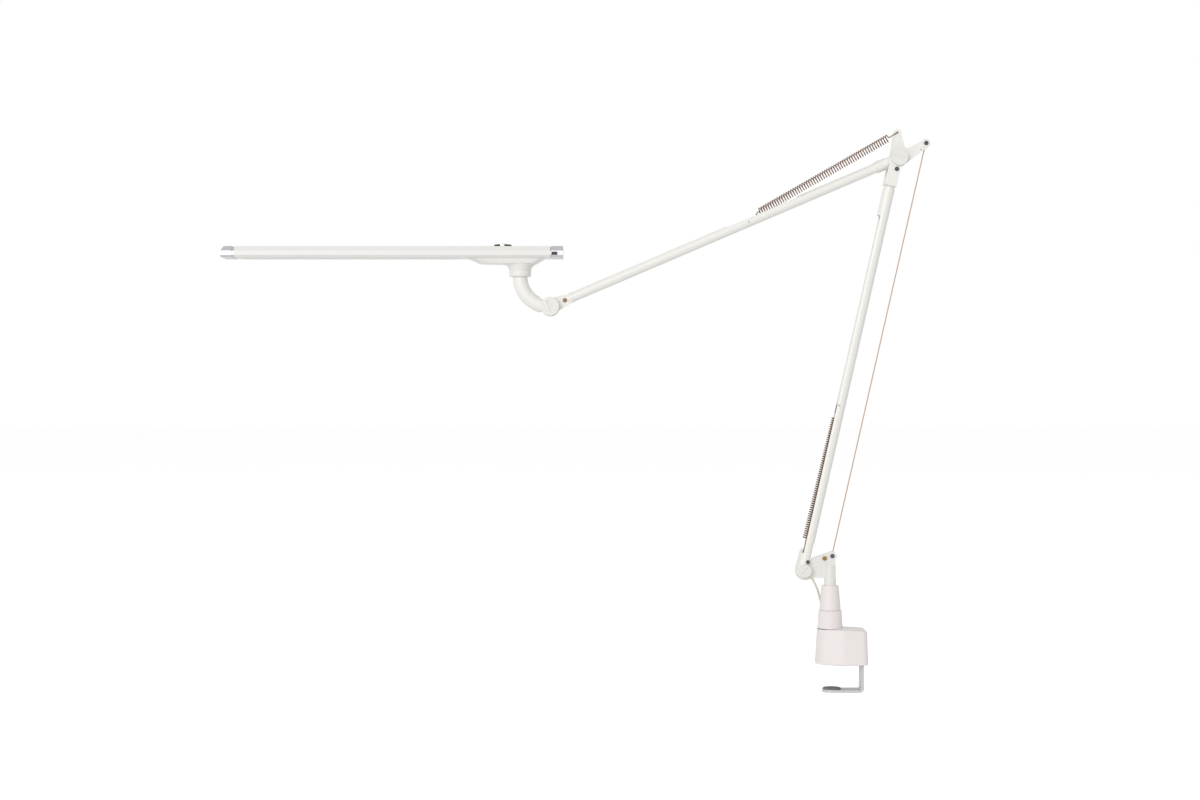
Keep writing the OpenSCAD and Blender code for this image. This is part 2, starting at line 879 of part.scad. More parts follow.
// Upper tube, open along its top where the spring's hook reaches in
fitting_l = 26;
upper_foot_l = 15;
upper_slot_w = 7.4;
upper_slot_below = 58.5;
upper_slot_past = 23.5;
module upper_tube() {
    length = upper_arm_l - upper_foot_l - fitting_l;
    color(warm_white)
        on_upper()
            difference() {
                translate([0, 0, upper_foot_l])
                    cylinder(r = upper_tube_r, h = length);
                translate([0, 0, upper_foot_l - 1])
                    cylinder(r = upper_tube_r - tube_wall, h = length + 2);
                translate([0, -upper_slot_w / 2, upper_pin_at - upper_slot_below])
                    cube([2 * upper_tube_r, upper_slot_w, upper_slot_below + upper_slot_past]);
                translate([0, 0, upper_pin_at])
                    across(spring_pin_r + 0.02, -20, 20);
            }
}

module elbow_sleeve() {
    color(warm_white)
        on_upper()
            difference() {
                intersection() {
                    translate([0, 0, -7])
                        cylinder(r = sleeve_r, h = sleeve_l + 7);
                    plate(-10, 10) {
                        circle(r = 7);
                        translate([-10, 0])
                            square([20, sleeve_l]);
                    }
                }
                translate([0, 0, 14.9])
                    cylinder(r = upper_tube_r + 0.03, h = sleeve_l);
                translate([-12, -plate_half - play, -10])
                    cube([24, 2 * (plate_half + play), 24]);
                across(bolt_r + run, -20, 20);
            }
}

module upper_spring_pin() {
    color(steel)
        on_upper()
            translate([0, 0, upper_pin_at])
                across(spring_pin_r, -upper_tube_r, upper_tube_r);
}

// The upper spring's coil and hook, which draw apart as the arm falls
upper_coil_z = 11.1;
upper_coil = coil(upper_coil_z, upper_coil_l, upper_turns);
upper_coil_end = upper_coil_z + upper_coil_l;
pin_way = joint - p1;
pin_from_ear = p1 + pin_way * upper_pin_at / norm(pin_way) - ear1;
pin_z = pin_from_ear * [sin(upper_spring_turn), cos(upper_spring_turn)];
pin_x = pin_from_ear * [cos(upper_spring_turn), -sin(upper_spring_turn)];
module on_upper_spring() {
    at(ear1)
        rotate([0, upper_spring_turn, 0])
            children();
}
module upper_spring_coil() {
    color(bronze)
        on_upper_spring()
            tube_along([each ear_end, [0, -coil_r, upper_coil_z - 2], each upper_coil,
                [0, -coil_r, upper_coil_end + 1.6], [0, -coil_r, upper_coil_end + 2.9]],
                wire_r, coil_sides, [1, 0, 0]);
}
module upper_spring_hook() {
    z0 = upper_coil_end + 2.9;
    color(bronze)
        on_upper_spring()
            tube_along([[0, -coil_r, z0], [0, -coil_r, z0 + 1.3], [0, -1.6, z0 + 3.6],
                [pin_x + hook_r, 0, z0 + 6.5],
                for (a = [0 : 45 : 225])
                    [pin_x + hook_r * cos(a), 0, pin_z + hook_r * sin(a)]], wire_r, coil_sides, [1, 0, 0]);
}

// The arm's end at the head joint: a tongue that widens to a round
module head_end_fitting() {
    start = upper_arm_l - fitting_l;
    color(warm_white)
        on_upper()
            difference() {
                union() {
                    plate(-tongue_half, tongue_half)
                        bar([0, upper_arm_l], [0, start + 5], 8.5, upper_tube_r);
                    translate([0, 0, start])
                        cylinder(r = upper_tube_r + 0.2, h = 6.4);
                    translate([0, 0, start - 18])
                        cylinder(r = upper_tube_r - tube_wall - 0.05, h = 20);
                }
                translate([0, 0, upper_arm_l])
                    across(bolt_r + run, -20, 20);
                translate([0, 0, upper_arm_l - 17])
                    across(1.2, -20, 20);
            }
}

module fitting_screw() {
    color(bronze)
        on_upper()
            translate([0, 0, upper_arm_l - 17]) {
                across(1.15, -tongue_half, tongue_half);
                across(2.2, -tongue_half - 0.9, -tongue_half);
            }
}

// Neck: a journal, a quarter bend and a slotted round end over the arm's tongue
module neck() {
    cheek_gap = tongue_half + play;
    reach = 11;
    color(warm_white)
        difference() {
            union() {
                translate([joint[0], 0, neck_top])
                    rotate([90, 0, 0])
                        rotate([0, 0, 180])
                            rotate_extrude(angle = 90)
                                translate([neck_bend_r, 0])
                                    circle(r = neck_r);
                at(joint)
                    intersection() {
                        rotate([0, 90, 0])
                            cylinder(r = neck_r, h = 9);
                        across(8.4, -10, 10);
                    }
                translate([swivel_x, 0, neck_top - eps])
                    cylinder(r = journal_r, h = 15);
            }
            translate([swivel_x, 0, neck_top - 12])
                cylinder(r = 3.5, h = 40);
            translate([swivel_x, 0, neck_top + 10.5])
                difference() {
                    cylinder(r = 10, h = 1.1);
                    translate([0, 0, -1])
                        cylinder(r = journal_r - 1, h = 4);
                }
            translate([joint[0] - reach, -cheek_gap, joint[1] - 14])
                cube([40, 2 * cheek_gap, 28]);
            at(joint)
                across(bolt_r + 0.02, -20, 20);
        }
}

module neck_clip() {
    color(steel)
        translate([swivel_x, 0, neck_top + 10.6])
            difference() {
                cylinder(r = journal_r + 1.8, h = 0.9);
                translate([0, 0, -1])
                    cylinder(r = journal_r - 0.9, h = 3);
                translate([0, -2.5, -1])
                    cube([20, 5, 3]);
            }
}

module head_bolt() {
    color(steel)
        at(joint)
            across(bolt_r, -neck_r - 2.5, neck_r + 2.5);
}

module head_knobs() {
    color(warm_white)
        at(joint)
            knob_pair(head_knob_r, neck_r + 0.1, 69, 2.6);
}

// Section of the head, as [y, z] above its underside, and its inset copy for the caps
function head_section(inset) =
    let (w = head_w / 2 - inset, h = head_h - inset)
    [[-w + 3, h], [-w, h - 5.1], [-w, inset + 2.1], [-w + 2, inset], [w - 2, inset], [w, inset + 2.1],
        [w, h - 5.1], [w - 3, h]];
module head_prism(x0, x1, inset) {
    translate([x0, 0, head_z])
        rotate([90, 0, 90])
            linear_extrude(x1 - x0)
                polygon(head_section(inset));
}

light_half = 13.5;
board_z = head_z + 3;
module head_body() {
    skin = 1.4;
    color(warm_white)
        difference() {
            head_prism(head_x0, head_x1, 0);
            translate([head_x0 - 1, -head_w / 2 + 3.6, head_z + 5.4])
                cube([head_l + 2, head_w - 7.2, head_h - 5.4 - skin]);
            translate([light_x0, -light_half - 0.1, head_z - 1])
                cube([light_x1 - light_x0, 2 * light_half + 0.2, 5.2]);
            translate([dial_x, 0, head_z + head_h - 3])
                cylinder(r = 6.6, h = 5);
            translate([swivel_x, 0, head_z - 1])
                cylinder(r = 3.5, h = 8);
        }
}

cap_gap = 2.4;
module outer_end_cap() {
    color([0.75, 0.745, 0.78]) {
        difference() {
            head_prism(head_x0 - cap_gap - cap_l, head_x0 - cap_gap, 0);
            translate([head_x0 - cap_gap - cap_l, 0, head_z + head_h - 5.1])
                rotate([0, 31, 0])
                    translate([-2 * head_h, -head_w, -2 * head_h])
                        cube([2 * head_h, 2 * head_w, 5 * head_h]);
        }
        head_prism(head_x0 - cap_gap - eps, head_x0, 0.7);
    }
}

// The cap on the arm's side, with a pocket for its dark insert
insert_x = 1.2;
insert_l = 6.4;
insert_z = 2.2;
module inner_end_cap() {
    color([0.75, 0.745, 0.78])
        difference() {
            union() {
                head_prism(head_x1, head_x1 + 1.2, 0.7);
                head_prism(head_x1 + 1.2 - eps, head_x1 + 1.2 + cap_l, 0);
            }
            translate([head_x1 + insert_x, -head_w / 2 - 1, head_z + insert_z])
                cube([insert_l, 2.2, 3.4]);
            translate([head_x1 + insert_x, head_w / 2 - 1.2, head_z + insert_z])
                cube([insert_l, 2.2, 3.4]);
        }
}

module cap_insert() {
    color(dark)
        for (side = [-1, 1])
            translate([head_x1 + insert_x + 0.05, side * (head_w / 2 - 0.75) - 0.45,
                head_z + insert_z + 0.05])
                cube([insert_l - 0.1, 0.9, 3.3]);
}

// Pod under the head: a flared foot on a round socket
pod_half_w = 15;
pod_slope_l = 12.7;
pod_shoulder_l = 20;
pod_throat_l = 13;
pod_lip_l = 10.6;
pod_flare_l = 14.5;
pod_neck_r = 10.4;
module joint_pod() {
    foot_z = neck_top + ring2_h;
    bore = journal_r + run;
    color(warm_white)
        difference() {
            union() {
                translate([0, 0, foot_z])
                    plate(-pod_half_w, pod_half_w)
                        polygon([[pod_x0, pod_h], [pod_x0 + 3, pod_h - 1.5],
                            [pod_x0 + pod_slope_l, pod_h - 5.6],
                            [swivel_x - pod_shoulder_l, pod_h - 6.4], [swivel_x - pod_throat_l, pod_h - 8.6],
                            [swivel_x + pod_lip_l, pod_h - 8.6], [swivel_x + pod_flare_l, pod_h - 6],
                            [pod_x1 - 1.5, pod_h - 1.2], [pod_x1, pod_h]]);
                translate([swivel_x, 0, foot_z])
                    cylinder(r = pod_neck_r, h = pod_h - 2);
            }
            translate([swivel_x, 0, foot_z - 1])
                cylinder(r = bore, h = 4.6);
            translate([swivel_x, 0, foot_z + 3.5])
                cylinder(r = journal_r + 2.4, h = 6);
            translate([swivel_x, 0, foot_z])
                cylinder(r = 3.5, h = 20);
        }
}

module socket_ring() {
    color(warm_white)
        translate([swivel_x, 0, neck_top + 0.1])
            difference() {
                cylinder(r = 11.5, h = ring2_h - 0.1);
                translate([0, 0, -1])
                    cylinder(r = journal_r + run, h = ring2_h + 2);
            }
}

// Light engine along the head
module led_board() {
    color([0.95, 0.95, 0.93])
        translate([light_x0 + 1, -light_half + 0.5, board_z])
            cube([light_x1 - light_x0 - 2, 2 * light_half - 1, 1.2]);
}

led_l = 3.5;
led_w = 2.8;
led_h = 0.8;
led_row_y = 6;
led_margin = 6;
module leds() {
    pitch = (light_x1 - light_x0 - 2 * led_margin) / (led_count - 1);
    color([0.95, 0.85, 0.45])
        for (i = [0 : led_count - 1], y = [-led_row_y, led_row_y])
            translate([light_x0 + led_margin + pitch * i - led_l / 2, y - led_w / 2, board_z - led_h])
                cube([led_l, led_w, led_h]);
}

module diffuser() {
    color([0.96, 0.96, 0.95])
        translate([light_x0 + 0.1, -light_half, head_z + 0.3])
            cube([light_x1 - light_x0 - 0.2, 2 * light_half, 1.2]);
}

driver_l = 70;
driver_w = 24;
driver_t = 1.2;
module driver_board() {
    color([0.2, 0.42, 0.28])
        translate([pod_x0 + 6, -driver_w / 2, head_z + 5.4]) {
            cube([driver_l, driver_w, driver_t]);
            translate([4, 4, driver_t])
                cube([12, 12, 2.6]);
            translate([driver_l - 10, 4, driver_t])
                cube([6, 6, 2.4]);
        }
}

module dial_encoder() {
    color(dark)
        translate([dial_x, 0, head_z + 6.6])
            difference() {
                cylinder(r = 6.3, h = head_h - 6.6 - 0.9);
                translate([0, 0, 1])
                    cylinder(r = 4.6, h = 10);
            }
}

module dimmer_dial() {
    top = head_z + head_h;
    color([0.8, 0.8, 0.82])
        translate([dial_x, 0, 0])
            difference() {
                union() {
                    translate([0, 0, top + 0.3])
                        rotate_extrude()
                            polygon([[0, 0], [dial_r, 0], [dial_r, dial_h - 1.1],
                                [dial_r - 0.8, dial_h - 0.3], [0, dial_h - 0.3]]);
                    translate([0, 0, head_z + 8])
                        cylinder(r = 4.5, h = top + 0.5 - head_z - 8);
                }
                translate([0, 0, head_z])
                    cylinder(r = button_r + run, h = 30);
            }
}

module power_button() {
    top = head_z + head_h + dial_h;
    color([0.94, 0.94, 0.95])
        translate([dial_x, 0, 0]) {
            translate([0, 0, head_z + 9])
                cylinder(r = button_r, h = top + 0.2 - head_z - 9);
            translate([0, 0, top + 0.2 - eps])
                rotate_extrude()
                    polygon([[0, 0], [button_r, 0], [button_r - 0.5, 0.5], [0, 0.7]]);
        }
}

echo(lower_spring_gap = least_gap(lower_coil, coil_rings - 1, 2 * wire_r));
echo(upper_spring_gap = least_gap(upper_coil, coil_rings - 1, 2 * wire_r));
echo(lead_coil_gap = least_gap(lead_loops, loop_rings - 5, lead_d));
echo(pin_z = pin_z, pin_x = pin_x, coil_mid_y = coil_mid_y, loops_end = lead_loops[len(lead_loops) - 1]);

base_housing();
base_plate();
seat_pad();
housing_screws();
thrust_washer();
clamp_strap();
jaw_pad();
clamp_nut();
knob_ring();
knob_collar();
lead_screw();
post_bushing();
base_bracket();
lead_gland();
lower_link_pin();
adjuster_screw();
supply_lead();
lead_coil();
lead_tail();
lead_plug();
lower_tube();
foot_screw();
top_fork();
fork_screws();
lower_spring_pin();
lower_pivot_bolt();
lower_knobs();
lower_spring();
link_rod();
link_bushes();
elbow_bracket();
upper_link_pin();
elbow_bolt();
elbow_knobs();
upper_tube();
elbow_sleeve();
upper_spring_pin();
upper_spring_coil();
upper_spring_hook();
head_end_fitting();
fitting_screw();
neck();
neck_clip();
head_bolt();
head_knobs();
head_body();
outer_end_cap();
inner_end_cap();
cap_insert();
joint_pod();
socket_ring();
led_board();
leds();
diffuser();
driver_board();
dial_encoder();
dimmer_dial();
power_button();
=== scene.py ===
"""The looks of a clamp-on LED task lamp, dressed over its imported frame.

Lengths are metres in the frame's own axes: +Z up from the clamp's seat, +X away from the lamp head
and +Y away from the viewer. Each sub-assembly is a class that builds its own pieces.
"""

import json
import logging
import math
from dataclasses import dataclass
from enum import Enum
from typing import Any, Sequence

import bpy
import bmesh
import numpy as np
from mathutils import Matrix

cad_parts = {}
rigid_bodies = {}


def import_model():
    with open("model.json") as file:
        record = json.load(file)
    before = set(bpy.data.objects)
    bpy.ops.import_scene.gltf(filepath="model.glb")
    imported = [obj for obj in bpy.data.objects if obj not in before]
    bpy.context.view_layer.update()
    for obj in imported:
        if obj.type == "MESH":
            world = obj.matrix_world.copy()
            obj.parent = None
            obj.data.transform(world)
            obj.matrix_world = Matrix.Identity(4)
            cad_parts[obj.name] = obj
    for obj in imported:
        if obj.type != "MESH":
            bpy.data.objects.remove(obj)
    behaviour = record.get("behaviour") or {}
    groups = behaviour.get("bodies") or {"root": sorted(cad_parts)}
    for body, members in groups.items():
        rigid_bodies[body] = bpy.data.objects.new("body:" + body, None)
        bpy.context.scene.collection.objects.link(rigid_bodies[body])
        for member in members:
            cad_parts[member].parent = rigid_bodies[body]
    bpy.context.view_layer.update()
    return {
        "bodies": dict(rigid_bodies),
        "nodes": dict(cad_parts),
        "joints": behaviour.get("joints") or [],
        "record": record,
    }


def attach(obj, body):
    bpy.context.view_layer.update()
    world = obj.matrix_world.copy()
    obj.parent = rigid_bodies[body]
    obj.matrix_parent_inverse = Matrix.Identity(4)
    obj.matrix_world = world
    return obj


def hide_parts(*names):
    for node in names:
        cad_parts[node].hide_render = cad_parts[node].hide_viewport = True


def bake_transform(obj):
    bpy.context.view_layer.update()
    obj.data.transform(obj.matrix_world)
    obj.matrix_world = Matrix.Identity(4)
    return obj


LOG = logging.getLogger("lamp")
MM = 0.001
# Points closer than this are one, in new pieces and in copies of the frame's solids
MERGE = 1e-7
CAST_MERGE = 1e-6
# Edges stay sharp above these angles, and faces are joined below the last
SHARP = math.radians(38)
CAST_SHARP = math.radians(30)
FLAT = math.radians(0.5)
Vec = tuple[float, float, float]


# Shapes worked out as whole arrays

def unit(v: np.ndarray) -> np.ndarray:
    """Returns each vector along the last axis at length one."""
    return v / np.maximum(np.linalg.norm(v, axis=-1, keepdims=True), 1e-12)


def smooth_step(t: np.ndarray) -> np.ndarray:
    """Returns 3 t squared less 2 t cubed, with t held between 0 and 1."""
    t = np.clip(t, 0.0, 1.0)
    return t * t * (3 - 2 * t)


def belt(circles: np.ndarray, steps: int) -> np.ndarray:
    """Runs a belt round circles that are given counter-clockwise.

    The belt leaves a circle for the next at the angle of their centres' line less the arc cosine
    of the difference of their radii over the distance, and each circle gives the arc between its
    two angles.

    Args:
        circles: each circle's centre and radius, one circle a row.
        steps: points on each arc.

    Returns:
        The belt's points, one row each.
    """
    centre, radius = circles[:, :2], circles[:, 2]
    gap = np.roll(centre, -1, axis=0) - centre
    share = (radius - np.roll(radius, -1)) / np.linalg.norm(gap, axis=1)
    leave = np.arctan2(gap[:, 1], gap[:, 0]) - np.arccos(share)
    come = np.roll(leave, 1)
    sweep = (leave - come) % (2 * math.pi)
    angle = come[:, None] + sweep[:, None] * np.linspace(0, 1, steps)[None, :]
    arc = np.stack([np.cos(angle), np.sin(angle)], axis=-1) * radius[:, None, None]
    return (centre[:, None, :] + arc).reshape(-1, 2)


def turned(profile: np.ndarray, centre: Vec, count: int) -> np.ndarray:
    """Turns a profile of (radius, height) round an upright axis, as a lathe does.

    Args:
        profile: radius and height of each ring, one ring a row.
        centre: point on the axis at height 0.
        count: points in a ring.

    Returns:
        A grid of points, one ring a row.
    """
    angle = np.linspace(0, 2 * math.pi, count, endpoint=False)
    first, second = profile[:, :1] * np.cos(angle), profile[:, :1] * np.sin(angle)
    height = np.broadcast_to(profile[:, 1:2], first.shape)
    return np.stack([first, second, height], axis=-1) + np.array(centre)


def tube(path: np.ndarray, radius: float, sides: int, towards: np.ndarray) -> np.ndarray:
    """Carries a circle along a path.

    Each ring lies square to the path, and its first point is the one nearest the given direction.

    Args:
        path: points of the centreline.
        radius: the circle's radius.
        sides: points in a ring.
        towards: a direction for each point, never along the path.

    Returns:
        A grid of points, one ring a row.
    """
    way = unit(np.gradient(path, axis=0))
    first = unit(towards - (towards * way).sum(1, keepdims=True) * way)
    second = np.cross(way, first)
    angle = np.linspace(0, 2 * math.pi, sides, endpoint=False)[None, :, None]
    ring = np.cos(angle) * first[:, None, :] + np.sin(angle) * second[:, None, :]
    return path[:, None, :] + radius * ring


def spread_along(points: np.ndarray, step: float) -> np.ndarray:
    """Puts a smooth curve through points and returns it at even steps.

    Between two points the curve is the cubic whose slope at each is that of the line between its
    neighbours.

    Args:
        points: the route's points.
        step: distance between the points returned.

    Returns:
        Points along the curve.
    """
    parts = 24
    slope = np.gradient(points, axis=0)
    t = np.linspace(0, 1, parts, endpoint=False)[None, :, None]
    a, b, ma, mb = points[:-1, None], points[1:, None], slope[:-1, None], slope[1:, None]
    fine = ((2 * t**3 - 3 * t**2 + 1) * a + (t**3 - 2 * t**2 + t) * ma
            + (3 * t**2 - 2 * t**3) * b + (t**3 - t**2) * mb).reshape(-1, 3)
    fine = np.vstack([fine, points[-1:]])
    gone = np.concatenate([[0], np.cumsum(np.linalg.norm(np.diff(fine, axis=0), axis=1))])
    at = np.linspace(0, gone[-1], max(3, round(gone[-1] / step) + 1))
    return np.stack([np.interp(at, gone, fine[:, k]) for k in range(3)], axis=-1)


@dataclass
class Place:
    """A frame in the plane of the arms, turned about Y so that its own Z runs along an arm."""

    x: float
    z: float
    turn: float

    def put(self, points: np.ndarray) -> np.ndarray:
        """Moves points from this frame to the lamp's.

        Args:
            points: points of this frame.

        Returns:
            The same points in the lamp's frame.
        """
        c, s = math.cos(self.turn), math.sin(self.turn)
        x, y, z = points[..., 0], points[..., 1], points[..., 2]
        return np.stack([self.x + c * x + s * z, y, self.z - s * x + c * z], axis=-1)


# Materials

class Socket:
    """A value in a node tree, with arithmetic that adds Math nodes."""

    def __init__(self, nodes: "Nodes", out: Any) -> None:
        """Keeps the tree that holds the value, and its output socket."""
        self.nodes = nodes
        self.out = out

    def _math(self, operation: str, left: Any, right: Any) -> "Socket":
        """Returns the result of one Math node on two values."""
        return self.nodes.node("ShaderNodeMath", {"operation": operation}, {0: left, 1: right})

    def __add__(self, other: Any) -> "Socket":
        """Returns the sum."""
        return self._math("ADD", self, other)

    def __sub__(self, other: Any) -> "Socket":
        """Returns the difference."""
        return self._math("SUBTRACT", self, other)

    def __mul__(self, other: Any) -> "Socket":
        """Returns the product."""
        return self._math("MULTIPLY", self, other)

    __radd__ = __add__


class Nodes:
    """A node tree that nodes are added to."""

    def __init__(self, tree: Any) -> None:
        """Keeps the tree."""
        self.tree = tree

    def fill(self, socket: Any, value: Any) -> None:
        """Sets or links one input.

        Args:
            socket: the input.
            value: its value, or the output that it is linked to.
        """
        if isinstance(value, Socket):
            self.tree.links.new(value.out, socket)
        else:
            socket.default_value = value

    def node(self, kind: str, settings: dict[str, Any], inputs: dict[Any, Any], out: Any = 0) -> Socket:
        """Adds a node.

        Args:
            kind: the node's type.
            settings: its own settings.
            inputs: values or sockets for its inputs, by name or number.
            out: name or number of the output that is returned.

        Returns:
            The chosen output.
        """
        made = self.tree.nodes.new(kind)
        for key, value in settings.items():
            setattr(made, key, value)
        for key, value in inputs.items():
            self.fill(made.inputs[key], value)
        return Socket(self, made.outputs[out])

    def seen(self) -> Socket:
        """Returns 1 for rays from the camera, from gloss or through glass, and 0 for all others."""
        camera, glossy, clear = (self.node("ShaderNodeLightPath", {}, {}, f"Is {kind} Ray")
                                 for kind in ("Camera", "Glossy", "Transmission"))
        return camera + glossy + clear


class Shader(Nodes):
    """A material's nodes round one Principled BSDF."""

    def __init__(self, name: str) -> None:
        """Starts a material with its shader and the piece's own coordinates.

        Args:
            name: the material's name.
        """
        self.material = bpy.data.materials.new(name)
        self.material.use_nodes = True
        super().__init__(self.material.node_tree)
        self.bsdf = self.tree.nodes["Principled BSDF"]
        self.coords = self.node("ShaderNodeTexCoord", {}, {}, "Object")

    def noise(self, scale: float, detail: float, stretch: Vec = (1, 1, 1), rough: float = 0.5) -> Socket:
        """Makes noise between 0 and 1.

        Args:
            scale: its cells to a metre.
            detail: how many times finer noise is added to it.
            stretch: factors on the scale along each axis.
            rough: how strong the finer noise is.

        Returns:
            The noise.
        """
        placed = self.node("ShaderNodeMapping", {}, {"Vector": self.coords, "Scale": stretch})
        return self.node("ShaderNodeTexNoise", {}, {"Vector": placed, "Scale": scale, "Detail": detail,
                                                    "Roughness": rough}, "Fac")

    def mix(self, amount: Socket, low: Vec | Socket, high: Vec | Socket) -> Socket:
        """Returns a colour between two."""
        ends = {key: end if isinstance(end, Socket) else (*end, 1) for key, end in ((6, low), (7, high))}
        return self.node("ShaderNodeMix", {"data_type": "RGBA"}, {0: amount, **ends}, 2)

    def place(self, axis: str) -> Socket:
        """Returns the place along one axis, in metres."""
        return self.node("ShaderNodeSeparateXYZ", {}, {0: self.coords}, axis)

    def ramp(self, value: Socket, low: float, high: float) -> Socket:
        """Returns 0 below one value, 1 above another, and a smooth step between them."""
        return self.node("ShaderNodeMapRange", {"interpolation_type": "SMOOTHSTEP"},
                         {0: value, 1: low, 2: high})

    def feed(self, name: str, value: Any) -> None:
        """Sets or links one of the Principled BSDF's inputs."""
        self.fill(self.bsdf.inputs[name], value)

    def bump(self, height: Socket, distance: float) -> None:
        """Raises the surface by a height in metres."""
        self.feed("Normal", self.node("ShaderNodeBump", {}, {"Height": height, "Distance": distance,
                                                             "Strength": 1.0}))


def linear(r: float, g: float, b: float) -> Vec:
    """Returns display values from 0 to 255 as linear light."""
    return tuple(((v / 255 + 0.055) / 1.055) ** 2.4 if v > 10.3 else v / 255 / 12.92 for v in (r, g, b))


def scaled(colour: Vec, by: float) -> Vec:
    """Returns a colour made lighter or darker."""
    return tuple(min(1.0, c * by) for c in colour)


@dataclass(frozen=True)
class Band:
    """A colour painted over a finish between two places along an axis of the piece; each band here is a
    painted reflection.
    """

    axis: str
    low: float
    high: float
    colour: Vec
    edge: float = 0.1 * MM

    def cover(self, shader: Shader) -> Socket:
        """Works out how much of the colour shows: 1 inside the band and 0 outside it.

        Args:
            shader: the material's nodes.

        Returns:
            The mask.
        """
        at = shader.place(self.axis)
        begins = shader.ramp(at, self.low - self.edge, self.low + self.edge)
        ends = shader.ramp(at, self.high - self.edge, self.high + self.edge)
        return begins - ends


# Painted reflections on the chrome caps: the upper facet is painted a cool grey and the lower lip a dull
# grey, where the caps would mirror darker surroundings, and their face is bright
CAP_PAINTED_REFLECTIONS = (Band("Z", 436.2 * MM, 450 * MM, linear(190, 187, 195)),
             Band("Z", 420 * MM, 431.7 * MM, linear(205, 200, 204)))
# Painted reflections on the dial: a painted highlight down the middle of its near side between its dark
# flanks, and a painted lighter top edge
DIAL_PAINTED_REFLECTIONS = (Band("X", -348.9 * MM, -344.5 * MM, linear(238, 238, 238), 0.5 * MM),
              Band("Z", 443.6 * MM, 450 * MM, linear(150, 150, 152), 0.15 * MM))


@dataclass(frozen=True)
class Finish:
    """A surface whose colour, gloss and height vary a little with noise.

    Broad noise varies the colour by shade up and down, fine noise raises the surface by grain, in
    metres, and both vary the roughness by rough_vary. Their scales are cells to a metre.
    """

    slot: str
    colour: Vec
    rough: float = 0.4
    metallic: float = 0.0
    coat: float = 0.0
    shade: float = 0.05
    shade_scale: float = 40.0
    grain_scale: float = 1800.0
    grain: float = 0.00002
    rough_vary: float = 0.08
    stretch: Vec = (1, 1, 1)
    specular: float = 0.5
    bands: Sequence[Band] = ()
    coat_rough: float = 0.15

    def build(self, name: str) -> Any:
        """Builds the material.

        Args:
            name: the material's name.

        Returns:
            The new material.
        """
        shader = Shader(name)
        cloud = shader.noise(self.shade_scale, detail=4.0, stretch=self.stretch, rough=0.6)
        fine = shader.noise(self.grain_scale, detail=2.0, stretch=self.stretch)
        colour = shader.mix(cloud, scaled(self.colour, 1 - self.shade), scaled(self.colour, 1 + self.shade))
        # Each band paints a reflection over the colour
        for band in self.bands:
            colour = shader.mix(band.cover(shader), colour, band.colour)
        shader.feed("Base Color", colour)
        shader.feed("Roughness", self.rough + (fine + cloud - 1.0) * self.rough_vary)
        shader.feed("Metallic", self.metallic)
        shader.feed("Coat Weight", self.coat)
        shader.feed("Coat Roughness", self.coat_rough)
        shader.feed("Specular IOR Level", self.specular)
        shader.bump(fine, self.grain)
        return shader.material


class Look(Enum):
    """The lamp's finishes."""

    ARM = Finish("white_arm", linear(240, 238, 233), rough=0.36, coat=0.15, shade=0.012, grain=0.000012)
    HEAD = Finish("white_head", linear(235, 233, 229), rough=0.4, coat=0.1, shade=0.012, grain=0.000015)
    CLAMP = Finish("white_plastic", linear(238, 231, 229), rough=0.46, shade=0.014, grain_scale=2600,
                   grain=0.000025)
    # The caps carry painted reflections in bands along their Z
    CAP = Finish("cap_silver", linear(246, 246, 247), rough=0.3, metallic=0.2, shade=0.02, grain_scale=900,
                 stretch=(0.06, 1, 1), grain=0.000008, bands=CAP_PAINTED_REFLECTIONS)
    KNOB = Finish("white_arm", linear(234, 232, 227), rough=0.4, coat=0.1, shade=0.015, grain=0.000015)
    STRAP = Finish("strap_steel", linear(196, 196, 198), rough=0.42, metallic=0.5, shade=0.07,
                   grain_scale=1400, stretch=(1, 0.08, 1), grain=0.00001)
    STEEL = Finish("plain_steel", linear(172, 172, 176), rough=0.34, metallic=0.9, shade=0.1,
                   grain_scale=2200, grain=0.000008)
    PIN = Finish("plain_steel", linear(84, 86, 90), rough=0.36, metallic=0.6, shade=0.2, shade_scale=500,
                 grain_scale=2600, grain=0.000006)
    RUBBER = Finish("dark_rubber", linear(122, 122, 124), rough=0.8, shade=0.14, grain_scale=2400,
                    grain=0.00004)
    DARK = Finish("dark_plastic", linear(40, 40, 42), rough=0.5, shade=0.12, grain_scale=3000, grain=0.00002)
    WIRE = Finish("spring_wire", linear(132, 100, 80), rough=0.36, metallic=0.5, shade=0.35,
                  shade_scale=160, grain_scale=4000, grain=0.000006)
    ROD = Finish("spring_wire", linear(178, 152, 132), rough=0.36, metallic=0.5, shade=0.12, shade_scale=160,
                 grain_scale=4000, grain=0.000006)
    BRASS = Finish("brass", linear(150, 116, 66), rough=0.3, metallic=0.9, shade=0.3, shade_scale=700,
                   grain_scale=3000, grain=0.000006)
    LEAD = Finish("lead_jacket", linear(224, 219, 203), rough=0.45, shade=0.04, shade_scale=120,
                  grain_scale=3500, grain=0.00001)
    # Painted dark reflection: the dial's chrome gets a near-black colour in place of the dark surroundings
    # it would mirror
    CHROME = Finish("dial_chrome", linear(38, 38, 40), rough=0.2, metallic=0.6, shade=0.1, grain_scale=600,
                    grain=0.000004, rough_vary=0.04, bands=DIAL_PAINTED_REFLECTIONS)
    BUTTON = Finish("white_button", linear(240, 240, 242), rough=0.22, coat=0.3, shade=0.01, grain=0.000004)
    BOARD = Finish("board_white", linear(236, 236, 230), rough=0.4, shade=0.03, grain_scale=900)
    GREEN = Finish("board_green", linear(40, 120, 72), rough=0.35, shade=0.2, shade_scale=300,
                   grain_scale=1200)
    PHOSPHOR = Finish("led_yellow", linear(238, 206, 110), rough=0.4, shade=0.12, shade_scale=900)
    OPAL = Finish("diffuser_white", linear(238, 238, 235), rough=0.5, shade=0.012, grain_scale=1500,
                  grain=0.00001)


